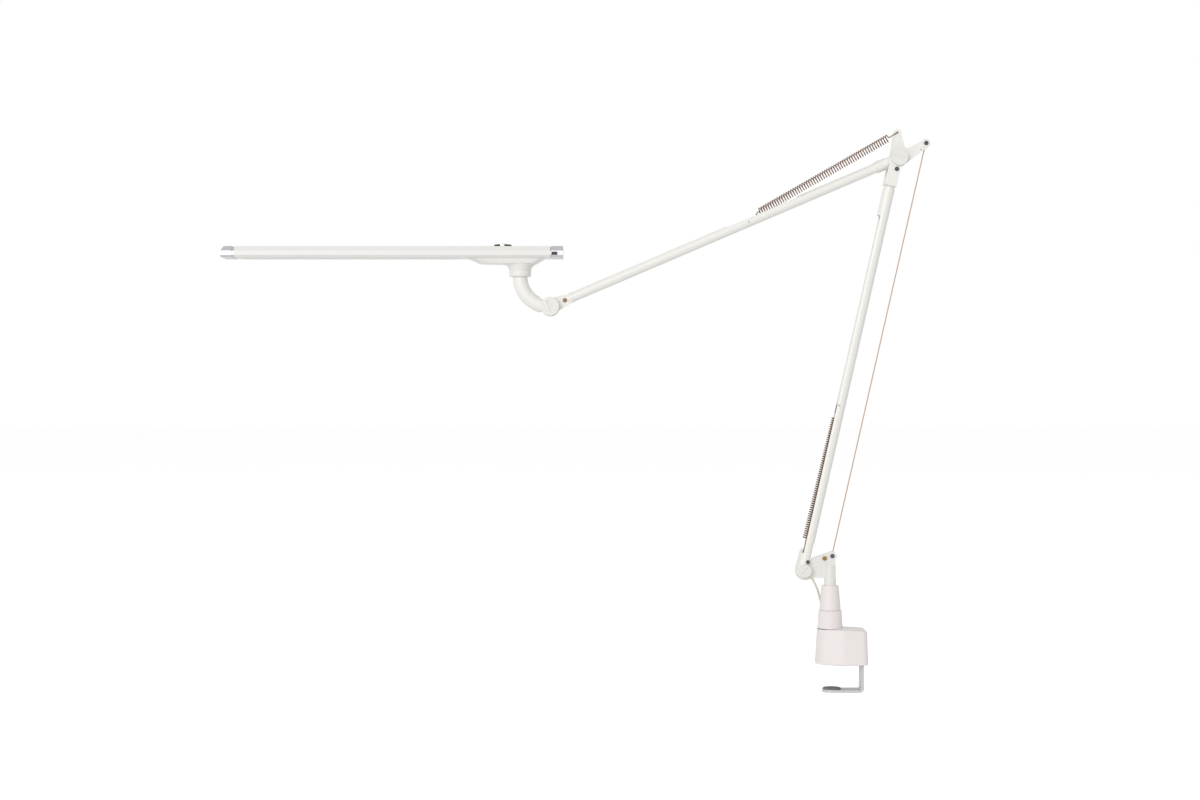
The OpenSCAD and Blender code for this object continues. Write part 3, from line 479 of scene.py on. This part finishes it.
CAD_LOOKS = {
    Look.ARM: ("lower_tube", "top_fork", "elbow_bracket", "upper_tube", "elbow_sleeve",
               "head_end_fitting", "neck"),
    Look.HEAD: ("head_body", "joint_pod", "socket_ring"),
    Look.KNOB: ("base_bracket", "lower_knobs", "elbow_knobs", "head_knobs"),
    Look.CLAMP: ("base_housing", "knob_ring", "knob_collar"),
    Look.CAP: ("outer_end_cap", "inner_end_cap"),
    Look.STRAP: ("clamp_strap",),
    Look.STEEL: ("base_plate", "housing_screws", "thrust_washer", "lead_screw", "lower_spring_pin",
                 "lower_pivot_bolt", "link_bushes", "elbow_bolt", "upper_spring_pin", "neck_clip",
                 "head_bolt"),
    Look.PIN: ("lower_link_pin", "upper_link_pin", "foot_screw", "fork_screws"),
    Look.RUBBER: ("seat_pad", "jaw_pad"),
    Look.DARK: ("post_bushing", "cap_insert", "dial_encoder", "lead_plug"),
    Look.WIRE: ("lower_spring", "upper_spring_coil", "upper_spring_hook", "fitting_screw"),
    Look.ROD: ("link_rod",),
    Look.BRASS: ("clamp_nut", "adjuster_screw"),
    Look.LEAD: ("lead_gland", "supply_lead", "lead_coil", "lead_tail"),
    Look.CHROME: ("dimmer_dial",),
    Look.BUTTON: ("power_button",),
    Look.BOARD: ("led_board",),
    Look.GREEN: ("driver_board",),
    Look.PHOSPHOR: ("leds",),
    Look.OPAL: ("diffuser",),
}


class Workshop:
    """Turns grids into finished pieces and hands out materials."""

    def __init__(self, frame: dict[str, Any]) -> None:
        """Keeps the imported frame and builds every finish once.

        Args:
            frame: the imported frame.
        """
        self.frame = frame
        self.materials = {look: look.value.build(look.name.lower()) for look in Look}
        self.joints = {joint["name"]: joint for joint in frame["joints"]}
        self.body_of = {node: body for body, nodes in frame["record"]["behaviour"]["bodies"].items()
                        for node in nodes}

    def pivot(self, joint: str) -> Vec:
        """Returns the point that a hinge turns about."""
        return tuple(self.joints[joint]["pos_m"])

    def dress_nodes(self) -> None:
        """Gives each CAD node its finish."""
        for look, names in CAD_LOOKS.items():
            for name in names:
                node = self.frame["nodes"][name]
                node.data.materials.clear()
                node.data.materials.append(self.materials[look])

    def piece(self, name: str, grids: Sequence[np.ndarray], look: Look, body: str | None,
              stands_for: Sequence[str], caps: bool = True, loop: bool = False) -> Any:
        """Makes one piece from grids whose rings close on themselves.

        Args:
            name: the piece's name.
            grids: one grid for each closed solid, a ring a row.
            look: its finish.
            body: the body that it rides on, or None where it rides on none.
            stands_for: the CAD nodes that it replaces.
            caps: whether the first and last rings are filled.
            loop: whether the last ring joins the first.

        Returns:
            The new object.
        """
        mesh = self._mesh(name, grids, caps, loop)
        made = self._object(name, mesh, look)
        self._weigh(made)
        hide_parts(*stands_for)
        if body is not None:
            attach(made, body)
        LOG.info("%s: %d points, %d faces, on %s", name, len(mesh.vertices), len(mesh.polygons), body)
        return made

    @staticmethod
    def _mesh(name: str, grids: Sequence[np.ndarray], caps: bool, loop: bool) -> Any:
        """Makes a mesh of grids, with its poles closed, its faces outwards and smooth between sharp edges.

        Each face joins two neighbours in a ring to the same two in the next ring.

        Args:
            name: the mesh's name.
            grids: one grid for each closed solid, a ring a row.
            caps: whether the first and last rings are filled.
            loop: whether the last ring joins the first.

        Returns:
            The new mesh.
        """
        points, faces, start = [], [], 0
        for grid in grids:
            rows, cols = grid.shape[:2]
            index = np.arange(rows * cols).reshape(rows, cols) + start
            if loop:
                index = np.vstack([index, index[:1]])
            ahead = np.roll(index, -1, axis=1)
            quads = np.stack([index[:-1], ahead[:-1], ahead[1:], index[1:]], axis=-1).reshape(-1, 4)
            faces += quads.tolist()
            if caps and not loop:
                faces += [index[0, ::-1].tolist(), index[-1].tolist()]
            points.append(grid.reshape(-1, 3))
            start += rows * cols
        mesh = bpy.data.meshes.new(name)
        mesh.from_pydata(np.vstack(points).tolist(), [], faces)
        work = bmesh.new()
        work.from_mesh(mesh)
        bmesh.ops.remove_doubles(work, verts=work.verts, dist=MERGE)
        bmesh.ops.dissolve_degenerate(work, dist=0.1 * MERGE, edges=work.edges)
        bmesh.ops.recalc_face_normals(work, faces=work.faces)
        work.to_mesh(mesh)
        work.free()
        mesh.shade_smooth()
        mesh.set_sharp_from_angle(angle=SHARP)
        return mesh

    def _object(self, name: str, mesh: Any, look: Look) -> Any:
        """Puts a mesh into the scene with its finish.

        Args:
            name: the piece's name.
            mesh: its mesh.
            look: its finish.

        Returns:
            The new object.
        """
        mesh.materials.clear()
        mesh.materials.append(self.materials[look])
        made = bpy.data.objects.new(name, mesh)
        bpy.context.scene.collection.objects.link(made)
        return made

    @staticmethod
    def _weigh(made: Any) -> None:
        """Lets the larger faces settle the shading beside soft edges."""
        made.modifiers.new("weighted", "WEIGHTED_NORMAL").keep_sharp = True

    def softened(self, node: str, look: Look, width: float) -> Any:
        """Makes a piece from a merged copy of a CAD node, with its hard edges rounded.

        Args:
            node: the CAD node.
            look: its finish.
            width: how far the rounding reaches from each edge.

        Returns:
            The new object.
        """
        mesh = self.frame["nodes"][node].data.copy()
        work = bmesh.new()
        work.from_mesh(mesh)
        bmesh.ops.remove_doubles(work, verts=work.verts, dist=CAST_MERGE)
        bmesh.ops.dissolve_limit(work, angle_limit=FLAT, verts=work.verts, edges=work.edges)
        work.to_mesh(mesh)
        work.free()
        mesh.shade_smooth()
        mesh.set_sharp_from_angle(angle=CAST_SHARP)
        made = self._object(node + "_softened", mesh, look)
        bevel = made.modifiers.new("rounded", "BEVEL")
        bevel.width = width
        bevel.segments = 2
        bevel.limit_method = "ANGLE"
        bevel.angle_limit = CAST_SHARP
        self._weigh(made)
        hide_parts(node)
        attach(made, self.body_of[node])
        LOG.info("%s: softened by %.1f mm, on %s", made.name, width / MM, self.body_of[node])
        return made


# Sub-assemblies

@dataclass
class SupplyLead:
    """The low-voltage lead: down behind the clamp, wound into a coil there, and a tail to its plug.

    The route and the tail are points in millimetres.
    """

    diameter: float = 2.4 * MM
    sides: int = 10
    spacing: float = 1.5 * MM
    step: float = 2.9 * MM
    inner_r: float = 8 * MM
    layer_turns: float = 4.5
    climb_turns: float = 0.5
    turns: float = 17.5
    turn_points: int = 48
    low: float = 1.25 * MM
    centre_x: float = 14 * MM
    near_y: float = 23 * MM
    upright_below: float = 30 * MM
    upright_over: float = 25 * MM
    route: Sequence[Vec] = (
        (-18.9, 0, 90.3), (-17.8, 0.3, 88.1), (-15, 2, 82.5), (-12.5, 5, 77), (-10.5, 8.5, 71),
        (-8.5, 12, 64.5), (-6.5, 15, 57), (-5.5, 17.3, 49), (-5.5, 18.9, 40), (-5.8, 20.2, 31),
        (-5.7, 21, 22), (-4.6, 21.5, 14), (-2, 21.9, 7.5), (2.2, 22.3, 3.2), (7, 22.8, 1.6),
        (11.6, 23, 1.25), (14, 23, 1.25))
    tail: Sequence[Vec] = (
        (14, 63.65, 9.95), (11.6, 63.65, 9.95), (7.2, 62.7, 10.8), (3.4, 60, 12.1), (1, 56, 13),
        (0.4, 51.6, 13.6), (1.3, 47.6, 14.3), (3.6, 44.7, 15.1), (6.6, 43.4, 15.7), (8.6, 43.3, 15.7))

    def coil(self) -> np.ndarray:
        """Winds the coil.

        Its radius goes in and out by one step a turn, and it climbs a step in the part of a turn
        round each place where the spiral turns back.

        Returns:
            The coil's centreline.
        """
        t = np.arange(round(self.turns * self.turn_points) + 1) / self.turn_points
        climb, half = self.climb_turns, self.climb_turns / 2
        radius = self.inner_r + self.step * np.abs((t + half) % (2 * self.layer_turns) - self.layer_turns)
        layer = np.floor((t + climb) / self.layer_turns) - 1
        layer += np.minimum(1, ((t + climb) % self.layer_turns) / climb)
        angle = 2 * math.pi * t
        centre_y = self.near_y + self.inner_r + (self.layer_turns - half) * self.step
        return np.stack([self.centre_x + radius * np.sin(angle), centre_y - radius * np.cos(angle),
                         self.low + self.step * layer], axis=-1)

    def build(self, shop: Workshop) -> None:
        """Builds the lead as one tube that runs between the clamp and the swivel; it rides on no body.

        Its rings start towards +X where it hangs and upwards where it lies.

        Args:
            shop: the workshop.
        """
        down = spread_along(np.array(self.route) * MM, self.spacing)
        coil = self.coil()
        tail = spread_along(np.array(self.tail) * MM, self.spacing)
        path = np.vstack([down[:-1], coil, tail[1:]])
        lying = smooth_step((self.upright_below - down[:-1, 2]) / self.upright_over)
        upright = np.concatenate([lying, np.ones(len(coil) + len(tail) - 1)])
        towards = np.stack([1 - upright, 0 * upright, upright], axis=-1)
        lead = shop.piece("lead", [tube(path, self.diameter / 2, self.sides, towards)], Look.LEAD, None,
                          ("supply_lead", "lead_coil", "lead_tail"))
        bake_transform(lead)


@dataclass
class BalanceSprings:
    """Both balance springs, each with the wire's own ends.

    A spring's own frame has its origin in the hole of the ear that holds it, and Z along the coil.
    """

    wire_r: float = 0.56 * MM
    wire_sides: int = 8
    coil_r: float = 3.78 * MM
    turns: int = 57
    turn_points: int = 12
    spacing: float = 0.5 * MM
    behind_ear: float = 2.6 * MM
    ear_bend: float = 2 * MM
    lower_turn: float = 13.68
    lower_start: float = 13.2 * MM
    lower_length: float = 132 * MM
    lower_hook: tuple[float, float] = (0.0, 159.25 * MM)
    upper_turn: float = -119.8
    upper_start: float = 11.1 * MM
    upper_length: float = 157.8 * MM
    upper_hook: tuple[float, float] = (-3.8 * MM, 183.87 * MM)
    hook_r: float = 1.85 * MM
    hook_turns: Sequence[float] = (0, 0.25, 0.5, 0.75, 1, 1.2)

    def path(self, start: float, length: float, hook: tuple[float, float],
             side: float) -> tuple[np.ndarray, np.ndarray]:
        """Works out one spring's wire in its own frame.

        The coil's point at turn t lies at coil_r times (sine t, minus cosine t), at a steady climb.

        Args:
            start: where the coil starts.
            length: the coil's length.
            hook: X and Z of the pin that the far end hooks over.
            side: which side of the pin the wire comes up on.

        Returns:
            The wire's points, and for each the direction of its ring's first point.
        """
        r, end = self.coil_r, start + length
        angle = 2 * math.pi * np.arange(self.turns * self.turn_points + 1) / self.turn_points
        coil = np.stack([r * np.sin(angle), -r * np.cos(angle), start + length * angle / angle[-1]], axis=-1)
        # Through the ear's hole, round its edge and along the near side to the first turn
        near = spread_along(np.array([
            [0, self.behind_ear, 0], [0, 0, 0], [0, -r * 0.8, 0], [0, -r, 1.2 * MM], [0, -r, start * 0.5],
            [-0.4 * MM, -r, start - 1.6 * MM], [-0.2 * MM, -r, start - 0.4 * MM]]), self.spacing)
        # From the last turn to the middle plane, and over the pin
        around = math.pi * np.array(self.hook_turns)
        up_x = hook[0] + side * self.hook_r
        loop = np.stack([hook[0] + side * self.hook_r * np.cos(around), 0 * around,
                         hook[1] + self.hook_r * np.sin(around)], axis=-1)
        far = spread_along(np.vstack([[
            [0.3 * MM, -r, end + 0.4 * MM], [0.2 * MM, -r * 0.8, end + 2 * MM],
            [0.5 * up_x, -1.2 * MM, end + 4 * MM], [up_x, -0.1 * MM, end + 6.5 * MM]], loop]), self.spacing)
        radial = np.stack([np.sin(angle), -np.cos(angle), 0 * angle], axis=-1)
        still = np.array([0.0, -1.0, 0.0])
        across = smooth_step((self.ear_bend - near[:, 2:]) / self.ear_bend)
        near_ref = np.array([-1.0, 0.0, 0.0]) * across + still * (1 - across)
        towards = np.vstack([near_ref, radial, np.broadcast_to(still, far.shape)])
        return np.vstack([near, coil, far]), towards

    def build(self, shop: Workshop) -> None:
        """Builds both springs.

        Args:
            shop: the workshop.
        """
        x, _, z = shop.pivot("lower_spring_swing")
        place = Place(x, z, math.radians(self.lower_turn))
        path, towards = self.path(self.lower_start, self.lower_length, self.lower_hook, -1)
        wire = place.put(tube(path, self.wire_r, self.wire_sides, towards))
        shop.piece("lower_balance_spring", [wire], Look.WIRE, "lower_spring", ("lower_spring",))
        x, _, z = shop.pivot("upper_spring_swing")
        place = Place(x, z, math.radians(self.upper_turn))
        path, towards = self.path(self.upper_start, self.upper_length, self.upper_hook, 1)
        wire = place.put(tube(path, self.wire_r, self.wire_sides, towards))
        spring = shop.piece("upper_balance_spring", [wire], Look.WIRE, None,
                            ("upper_spring_coil", "upper_spring_hook"))
        near = place.put(np.array([0, 0, self.upper_start]))
        far = place.put(np.array([0, 0, self.upper_start + self.upper_length]))
        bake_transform(spring)


@dataclass
class DeskClamp:
    """The clamp's moulded housing and its ribbed knob.

    The foot and the crest are circles, each a centre and a radius, and the ring, the collar and the
    neck are profiles of (radius, height). All of these are in millimetres.
    """

    shell_low: float = 0.5 * MM
    seat: float = 37.3 * MM
    wall: float = 2.6 * MM
    foot_edge: Sequence[tuple[float, float]] = ((0, 0.5), (0.15, 0.12))
    foot_edge_h: float = 0.6 * MM
    edge: float = 1.1 * MM
    foot: Sequence[Vec] = ((0, 0, 16), (14, -9.5, 11), (32.4, -14.5, 6), (32.4, 14.5, 6), (14, 9.5, 11))
    crest: Sequence[Vec] = ((0, 0, 13.7), (13.5, -8.9, 10.6), (31.6, -13.9, 5.6), (31.6, 13.9, 5.6),
                            (13.5, 8.9, 10.6))
    arc_points: int = 16
    wall_rings: int = 14
    edge_rings: int = 5
    top_rings: int = 11
    droop: float = 1.3 * MM
    droop_from: float = 10 * MM
    droop_l: float = 34 * MM
    fillet_r: float = 13.5 * MM
    fillet_w: float = 4 * MM
    fillet_h: float = 1 * MM
    fillet_from: float = 4 * MM
    fillet_l: float = 8 * MM
    bore_step: float = 0.05 * MM
    screw_r: float = 4.05 * MM
    ring_z: float = 37.6 * MM
    ring: Sequence[tuple[float, float]] = (
        (4.05, 0), (12.9, 0), (13.05, 0.08), (13.1, 0.3), (13.08, 1.4), (12.25, 17.6), (12.2, 18.2),
        (11.9, 18.8), (11.3, 19), (4.05, 19))
    collar_z: float = 56.8 * MM
    collar: Sequence[tuple[float, float]] = (
        (6.3, 0), (10.6, 0), (11.05, 0.15), (11.2, 0.7), (10.9, 4), (10.2, 12), (9.6, 19), (9.2, 23),
        (9.15, 25.3), (8.9, 25.95), (8.3, 26.2), (6.3, 26.2))
    neck: Sequence[tuple[float, float]] = ((6.3, -1), (9.95, -1), (9.95, 0.4), (6.3, 0.4))
    neck_points: int = 96
    ribs: int = 28
    rib_points: int = 10
    ring_ribs: tuple[float, float] = (11.8 * MM, 0.35 * MM)
    collar_ribs: tuple[float, float] = (9 * MM, 0.12 * MM)

    def outline(self, height: np.ndarray, inset: np.ndarray) -> np.ndarray:
        """Works out the housing's plan at each height.

        It goes evenly from the belt round the foot's circles at the desk to the crest's at the seat.

        Args:
            height: heights above the desk.
            inset: how far the plan is drawn in at each height.

        Returns:
            The plans' points, one plan a row.
        """
        low, high = (belt(np.array(circles) * MM, self.arc_points) for circles in (self.foot, self.crest))
        along = unit(np.roll(low, -1, axis=0) - np.roll(low, 1, axis=0))
        inward = np.stack([-along[:, 1], along[:, 0]], axis=-1)
        share = (height / self.seat)[:, None, None]
        return (1 - share) * low[None] + share * high[None] + inset[:, None, None] * inward[None]

    def top(self, points: np.ndarray) -> np.ndarray:
        """Works out the height of the housing's top.

        It falls from the knob to the far end along a smooth step, and rises to the knob's right side
        by the square of what is left of the fillet's width.

        Args:
            points: points of the housing's plan.

        Returns:
            The height at each point.
        """
        away = np.hypot(points[..., 0], points[..., 1])
        rise = np.clip(1 - (away - self.fillet_r) / self.fillet_w, 0, 1) ** 2
        rise *= away > self.fillet_r - MERGE
        side = smooth_step((points[..., 0] - self.fillet_from) / self.fillet_l)
        fall = smooth_step((points[..., 0] - self.droop_from) / self.droop_l)
        return self.seat + self.fillet_h * rise * side - self.droop * fall

    def shell(self) -> np.ndarray:
        """Works out the housing: up its outside, over its top to the bore, and down its inside.

        The outside's rings are lowered with the top, in full at the upper edge and not at the foot.

        Returns:
            A grid of points, one ring a row.
        """
        low, high = self.shell_low, self.seat
        foot = np.array(self.foot_edge) * MM
        steps = np.linspace(low + self.foot_edge_h, high - self.edge, self.wall_rings)
        turn = np.linspace(0, math.pi / 2, self.edge_rings + 1)[1:]
        height = np.concatenate([low + foot[:, 0], steps, high - self.edge * (1 - np.sin(turn))])
        inset = np.concatenate([foot[:, 1], np.zeros(len(steps)), self.edge * (1 - np.cos(turn))])
        wall = self.outline(height, inset)
        level = np.broadcast_to(height[:, None, None], wall[..., :1].shape)
        outside = np.concatenate([wall, level], axis=-1)
        rim = wall[-1]
        way = unit(rim)
        t = np.linspace(0, 1, self.top_rings + 1)[1:, None, None]
        flat = (1 - t) * rim[None] + t * self.fillet_r * way[None]
        over = np.concatenate([flat, self.top(flat)[..., None]], axis=-1)
        drop = (high - self.edge - outside[..., 2:3]) / (high - self.edge - low)
        lowered = self.top(outside[..., :2])[..., None] - high
        outside[..., 2:3] += lowered * (1 - np.clip(drop, 0, 1))
        deck = high - self.wall - self.droop
        inside = [np.concatenate([radius * way, np.full((len(way), 1), level)], axis=-1)
                  for radius, level in ((self.fillet_r - self.bore_step, high), (self.screw_r, high),
                                        (self.screw_r, deck))]
        for level in (deck, low):
            plan = self.outline(np.array([level]), np.array([self.wall]))[0]
            inside.append(np.concatenate([plan, np.full((len(plan), 1), level)], axis=-1))
        return np.concatenate([outside, over, np.stack(inside)])

    def _ribbed(self, profile: Sequence[tuple[float, float]], foot: float,
                ribs: tuple[float, float]) -> np.ndarray:
        """Turns a profile and presses grooves between ribs into its outside.

        The radius falls by the depth times the eighth power of the cosine of half the angle from the
        nearest groove's middle, counted in ribs.

        Args:
            profile: radius and height of each ring, in millimetres.
            foot: the profile's height 0.
            ribs: the radius from which there are grooves, and their depth.

        Returns:
            A grid of points, one ring a row.
        """
        grid = turned(np.array(profile) * MM, (0, 0, foot), self.ribs * self.rib_points)
        radius = np.hypot(grid[..., 0], grid[..., 1])
        angle = np.arctan2(grid[..., 1], grid[..., 0])
        groove = ribs[1] * np.cos(angle * self.ribs / 2) ** 8
        grid[..., :2] *= np.where(radius > ribs[0], 1 - groove / radius, 1.0)[..., None]
        return grid

    def build(self, shop: Workshop) -> None:
        """Builds the housing, the ribbed ring and the collar above it.

        Args:
            shop: the workshop.
        """
        shop.piece("housing", [self.shell()], Look.CLAMP, "clamp_base", ("base_housing",), loop=True)
        ring = self._ribbed(self.ring, self.ring_z, self.ring_ribs)
        shop.piece("ribbed_ring", [ring], Look.CLAMP, "clamp_knob", ("knob_ring",), loop=True)
        collar = self._ribbed(self.collar, self.collar_z, self.collar_ribs)
        neck = turned(np.array(self.neck) * MM, (0, 0, self.collar_z), self.neck_points)
        shop.piece("collar", [collar, neck], Look.CLAMP, "clamp_knob", ("knob_collar",), loop=True)


@dataclass
class Castings:
    """The castings, mouldings, pads and pins that are the frame's own solids with soft edges.

    Each has its finish and how far its edges are rounded, in millimetres.
    """

    edges: Sequence[tuple[Look, str, float]] = (
        (Look.ARM, "top_fork", 0.3), (Look.ARM, "elbow_bracket", 0.5), (Look.ARM, "elbow_sleeve", 0.3),
        (Look.ARM, "head_end_fitting", 0.5), (Look.ARM, "neck", 0.4), (Look.KNOB, "base_bracket", 0.5),
        (Look.KNOB, "lower_knobs", 0.5), (Look.KNOB, "elbow_knobs", 0.6), (Look.KNOB, "head_knobs", 0.6),
        (Look.HEAD, "head_body", 0.25), (Look.HEAD, "socket_ring", 0.25), (Look.CAP, "outer_end_cap", 0.3),
        (Look.STRAP, "clamp_strap", 0.4), (Look.RUBBER, "jaw_pad", 0.4), (Look.RUBBER, "seat_pad", 0.3),
        (Look.PIN, "foot_screw", 0.2), (Look.PIN, "fork_screws", 0.2), (Look.PIN, "upper_link_pin", 0.25),
        (Look.PIN, "lower_link_pin", 0.25), (Look.BRASS, "adjuster_screw", 0.25))

    def build(self, shop: Workshop) -> None:
        """Softens each of them.

        Args:
            shop: the workshop.
        """
        for look, node, width in self.edges:
            shop.softened(node, look, width * MM)


@dataclass
class HeadPod:
    """The pod under the head, which flows from the socket's circle into a long flat foot.

    Each outer ring has its height, its reach to the left and right, its half width and its power. The
    bore is a profile of (radius, height). Both are in millimetres.
    """

    x: float = -328.395 * MM
    foot_z: float = 416.34 * MM
    points: int = 96
    rings: Sequence[tuple[float, float, float, float, float]] = (
        (0, 11.1, 11.1, 11.1, 2), (0.25, 11.4, 11.4, 11.4, 2), (0.9, 11.5, 11.5, 11.5, 2),
        (2.6, 12.2, 12.3, 11.8, 2.05), (4.2, 13.4, 13.6, 12.2, 2.1), (5.5, 15.2, 15, 12.6, 2.2),
        (6.4, 17.8, 15.6, 12.9, 2.4), (6.85, 21.5, 16, 13.1, 2.8), (7.0, 30, 16.5, 13.3, 3.6),
        (7.1, 41.6, 17.1, 13.5, 4.6), (7.35, 43.6, 18, 13.7, 5.0), (9.0, 46.8, 20.8, 14.1, 5.4),
        (11.0, 51.4, 23.8, 14.6, 5.8), (12.3, 54.8, 25.8, 14.9, 6), (12.9, 56.8, 26.6, 15, 6),
        (13.2, 57.2, 26.8, 15, 6))
    bore: Sequence[tuple[float, float]] = (
        (3.5, 13.2), (3.5, 9.5), (8.46, 9.5), (8.46, 3.55), (6.06, 3.55), (6.06, 0))

    def build(self, shop: Workshop) -> None:
        """Builds the pod as rings: up its outside, over its top, and down through its bore.

        Each outer ring is a superellipse: X is the reach times the cosine to two over the power, and Y
        is the half width times the sine to the same.

        Args:
            shop: the workshop.
        """
        rows = np.array(self.rings)
        angle = np.linspace(0, 2 * math.pi, self.points, endpoint=False)[None, :]
        c, s = np.cos(angle), np.sin(angle)
        power = 2 / rows[:, 4:5]
        reach = np.where(c < 0, rows[:, 1:2], rows[:, 2:3])
        x = reach * np.sign(c) * np.abs(c) ** power
        y = rows[:, 3:4] * np.sign(s) * np.abs(s) ** power
        outside = np.stack([x, y, np.broadcast_to(rows[:, :1], x.shape)], axis=-1) * MM
        inside = turned(np.array(self.bore) * MM, (0, 0, 0), self.points)
        grid = np.concatenate([outside, inside]) + np.array([self.x, 0, self.foot_z])
        shop.piece("head_pod", [grid], Look.HEAD, "head", ("joint_pod",), loop=True)


@dataclass
class DimmerDial:
    """The chromed dial with its domed push button.

    The rim and the shaft are profiles of (radius, height over the head's top), in millimetres.
    """

    x: float = -346.695 * MM
    top: float = 441.24 * MM
    rim: Sequence[tuple[float, float]] = (
        (3.05, 0.3), (9.2, 0.3), (9.5, 0.6), (9.5, 1.9), (9.35, 2.25), (8.7, 2.65), (8.1, 2.7),
        (4.65, 2.55), (3.55, 2.1), (3.05, 2))
    shaft: Sequence[tuple[float, float]] = ((3.05, -10.7), (4.5, -10.7), (4.5, 0.5), (3.05, 0.5))
    shaft_points: int = 64
    knurls: int = 72
    knurl_points: int = 4
    knurl_depth: float = 0.12 * MM
    knurl_from_r: float = 9.3 * MM
    knurl_to_z: float = 2.1 * MM
    button_r: float = 3 * MM
    button_low: float = -8.7 * MM
    button_points: int = 48
    crown_low: float = 3.2 * MM
    crown_h: float = 0.68 * MM
    crown_rings: int = 8

    def knurled(self) -> np.ndarray:
        """Turns the rim, and presses a groove between each two knurls into its side.

        The radius falls by the depth times the squared cosine of half the angle from the groove's
        middle, counted in knurls.

        Returns:
            A grid of points, one ring a row.
        """
        grid = turned(np.array(self.rim) * MM, (0, 0, 0), self.knurls * self.knurl_points)
        radius = np.hypot(grid[..., 0], grid[..., 1])
        angle = np.arctan2(grid[..., 1], grid[..., 0])
        side = (radius > self.knurl_from_r) & (grid[..., 2] < self.knurl_to_z)
        depth = np.where(side, self.knurl_depth * np.cos(angle * self.knurls / 2) ** 2, 0)
        grid[..., :2] *= (1 - depth / radius)[..., None]
        return grid + np.array([self.x, 0, self.top])

    def build(self, shop: Workshop) -> None:
        """Builds the dial, and the button as a pin with a domed crown.

        Args:
            shop: the workshop.
        """
        centre = (self.x, 0, self.top)
        shaft = turned(np.array(self.shaft) * MM, centre, self.shaft_points)
        shop.piece("dial", [self.knurled(), shaft], Look.CHROME, "dial", ("dimmer_dial",), loop=True)
        t = np.linspace(0, math.pi / 2, self.crown_rings, endpoint=False)
        crown = np.stack([self.button_r * np.cos(t), self.crown_low + self.crown_h * np.sin(t)], axis=-1)
        foot = [(0, self.button_low), (self.button_r, self.button_low)]
        pin = np.vstack([foot, crown, [(0, self.crown_low + self.crown_h)]])
        shop.piece("button_cap", [turned(pin, centre, self.button_points)], Look.BUTTON, "button",
                   ("power_button",), caps=False)


@dataclass
class Studio:
    """The camera at the photograph's place, plain soft light, and a pale floor."""

    eye: Vec = (-0.2438, -2.014, 0.2793)
    lens: float = 57.0
    sensor: float = 36.0
    far_clip: float = 100.0
    sky: float = 0.58
    lamp_at: Vec = (-3.17, -6.78, 2.64)
    lamp_target: Vec = (-0.2, 0, 0.3)
    lamp_size: float = 4.8
    lamp_power: float = 252.0
    floor_z: float = -0.16
    floor_half: float = 30.0
    floor_glow: float = 0.44

    def build(self) -> None:
        """Creates the camera, the world, the lamp and the floor."""
        scene = bpy.context.scene
        scene.view_settings.view_transform = "Standard"
        data = bpy.data.cameras.new("camera")
        data.lens = self.lens
        data.sensor_width = self.sensor
        data.clip_end = self.far_clip
        camera = bpy.data.objects.new("camera", data)
        camera.location = self.eye
        camera.rotation_euler = (math.pi / 2, 0, 0)
        scene.collection.objects.link(camera)
        scene.camera = camera
        self._world(scene)
        self._lamp(scene)
        self._floor(scene)

    def _world(self, scene: Any) -> None:
        """Makes the world white to the camera and in reflections, and a plain sky for light.

        Args:
            scene: Blender's scene.
        """
        scene.world = bpy.data.worlds.new("studio")
        scene.world.use_nodes = True
        nodes = Nodes(scene.world.node_tree)
        nodes.tree.nodes.clear()
        sky, white = (nodes.node("ShaderNodeBackground", {}, {"Color": (1, 1, 1, 1), "Strength": strength})
                      for strength in (self.sky, 1.0))
        shown = nodes.node("ShaderNodeMixShader", {}, {0: nodes.seen(), 1: sky, 2: white})
        nodes.fill(nodes.tree.nodes.new("ShaderNodeOutputWorld").inputs[0], shown)

    def _lamp(self, scene: Any) -> None:
        """Adds a large square lamp that faces its target.

        Args:
            scene: Blender's scene.
        """
        data = bpy.data.lights.new("key", "AREA")
        data.size = self.lamp_size
        data.energy = self.lamp_power
        lamp = bpy.data.objects.new("key", data)
        lamp.location = self.lamp_at
        x, y, z = np.array(self.lamp_target) - np.array(self.lamp_at)
        lamp.rotation_euler = (math.atan2(math.hypot(x, y), -z), 0, math.atan2(y, x) - math.pi / 2)
        scene.collection.objects.link(lamp)

    def _floor(self, scene: Any) -> None:
        """Adds the pale floor, lifted a little towards white for the camera.

        Args:
            scene: Blender's scene.
        """
        half, z = self.floor_half, self.floor_z
        mesh = bpy.data.meshes.new("floor")
        mesh.from_pydata([(-half, -half, z), (half, -half, z), (half, half, z), (-half, half, z)], [],
                         [(0, 1, 2, 3)])
        floor = bpy.data.objects.new("floor", mesh)
        scene.collection.objects.link(floor)
        shader = Shader("floor")
        cloud = shader.noise(3.0, detail=2.0)
        shader.feed("Base Color", shader.mix(cloud, (0.93, 0.93, 0.93), (0.95, 0.95, 0.95)))
        shader.feed("Roughness", 0.9)
        shader.feed("Specular IOR Level", 0.0)
        shader.feed("Emission Color", shader.mix(shader.seen(), (0, 0, 0), (1, 1, 1)))
        shader.feed("Emission Strength", self.floor_glow)
        mesh.materials.append(shader.material)


def main() -> None:
    """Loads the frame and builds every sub-assembly in order."""
    logging.basicConfig(level=logging.INFO, format="%(name)s: %(message)s")
    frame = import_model()
    shop = Workshop(frame)
    shop.dress_nodes()
    Studio().build()
    SupplyLead().build(shop)
    BalanceSprings().build(shop)
    DeskClamp().build(shop)
    Castings().build(shop)
    HeadPod().build(shop)
    DimmerDial().build(shop)


if __name__ == "__main__":
    main()
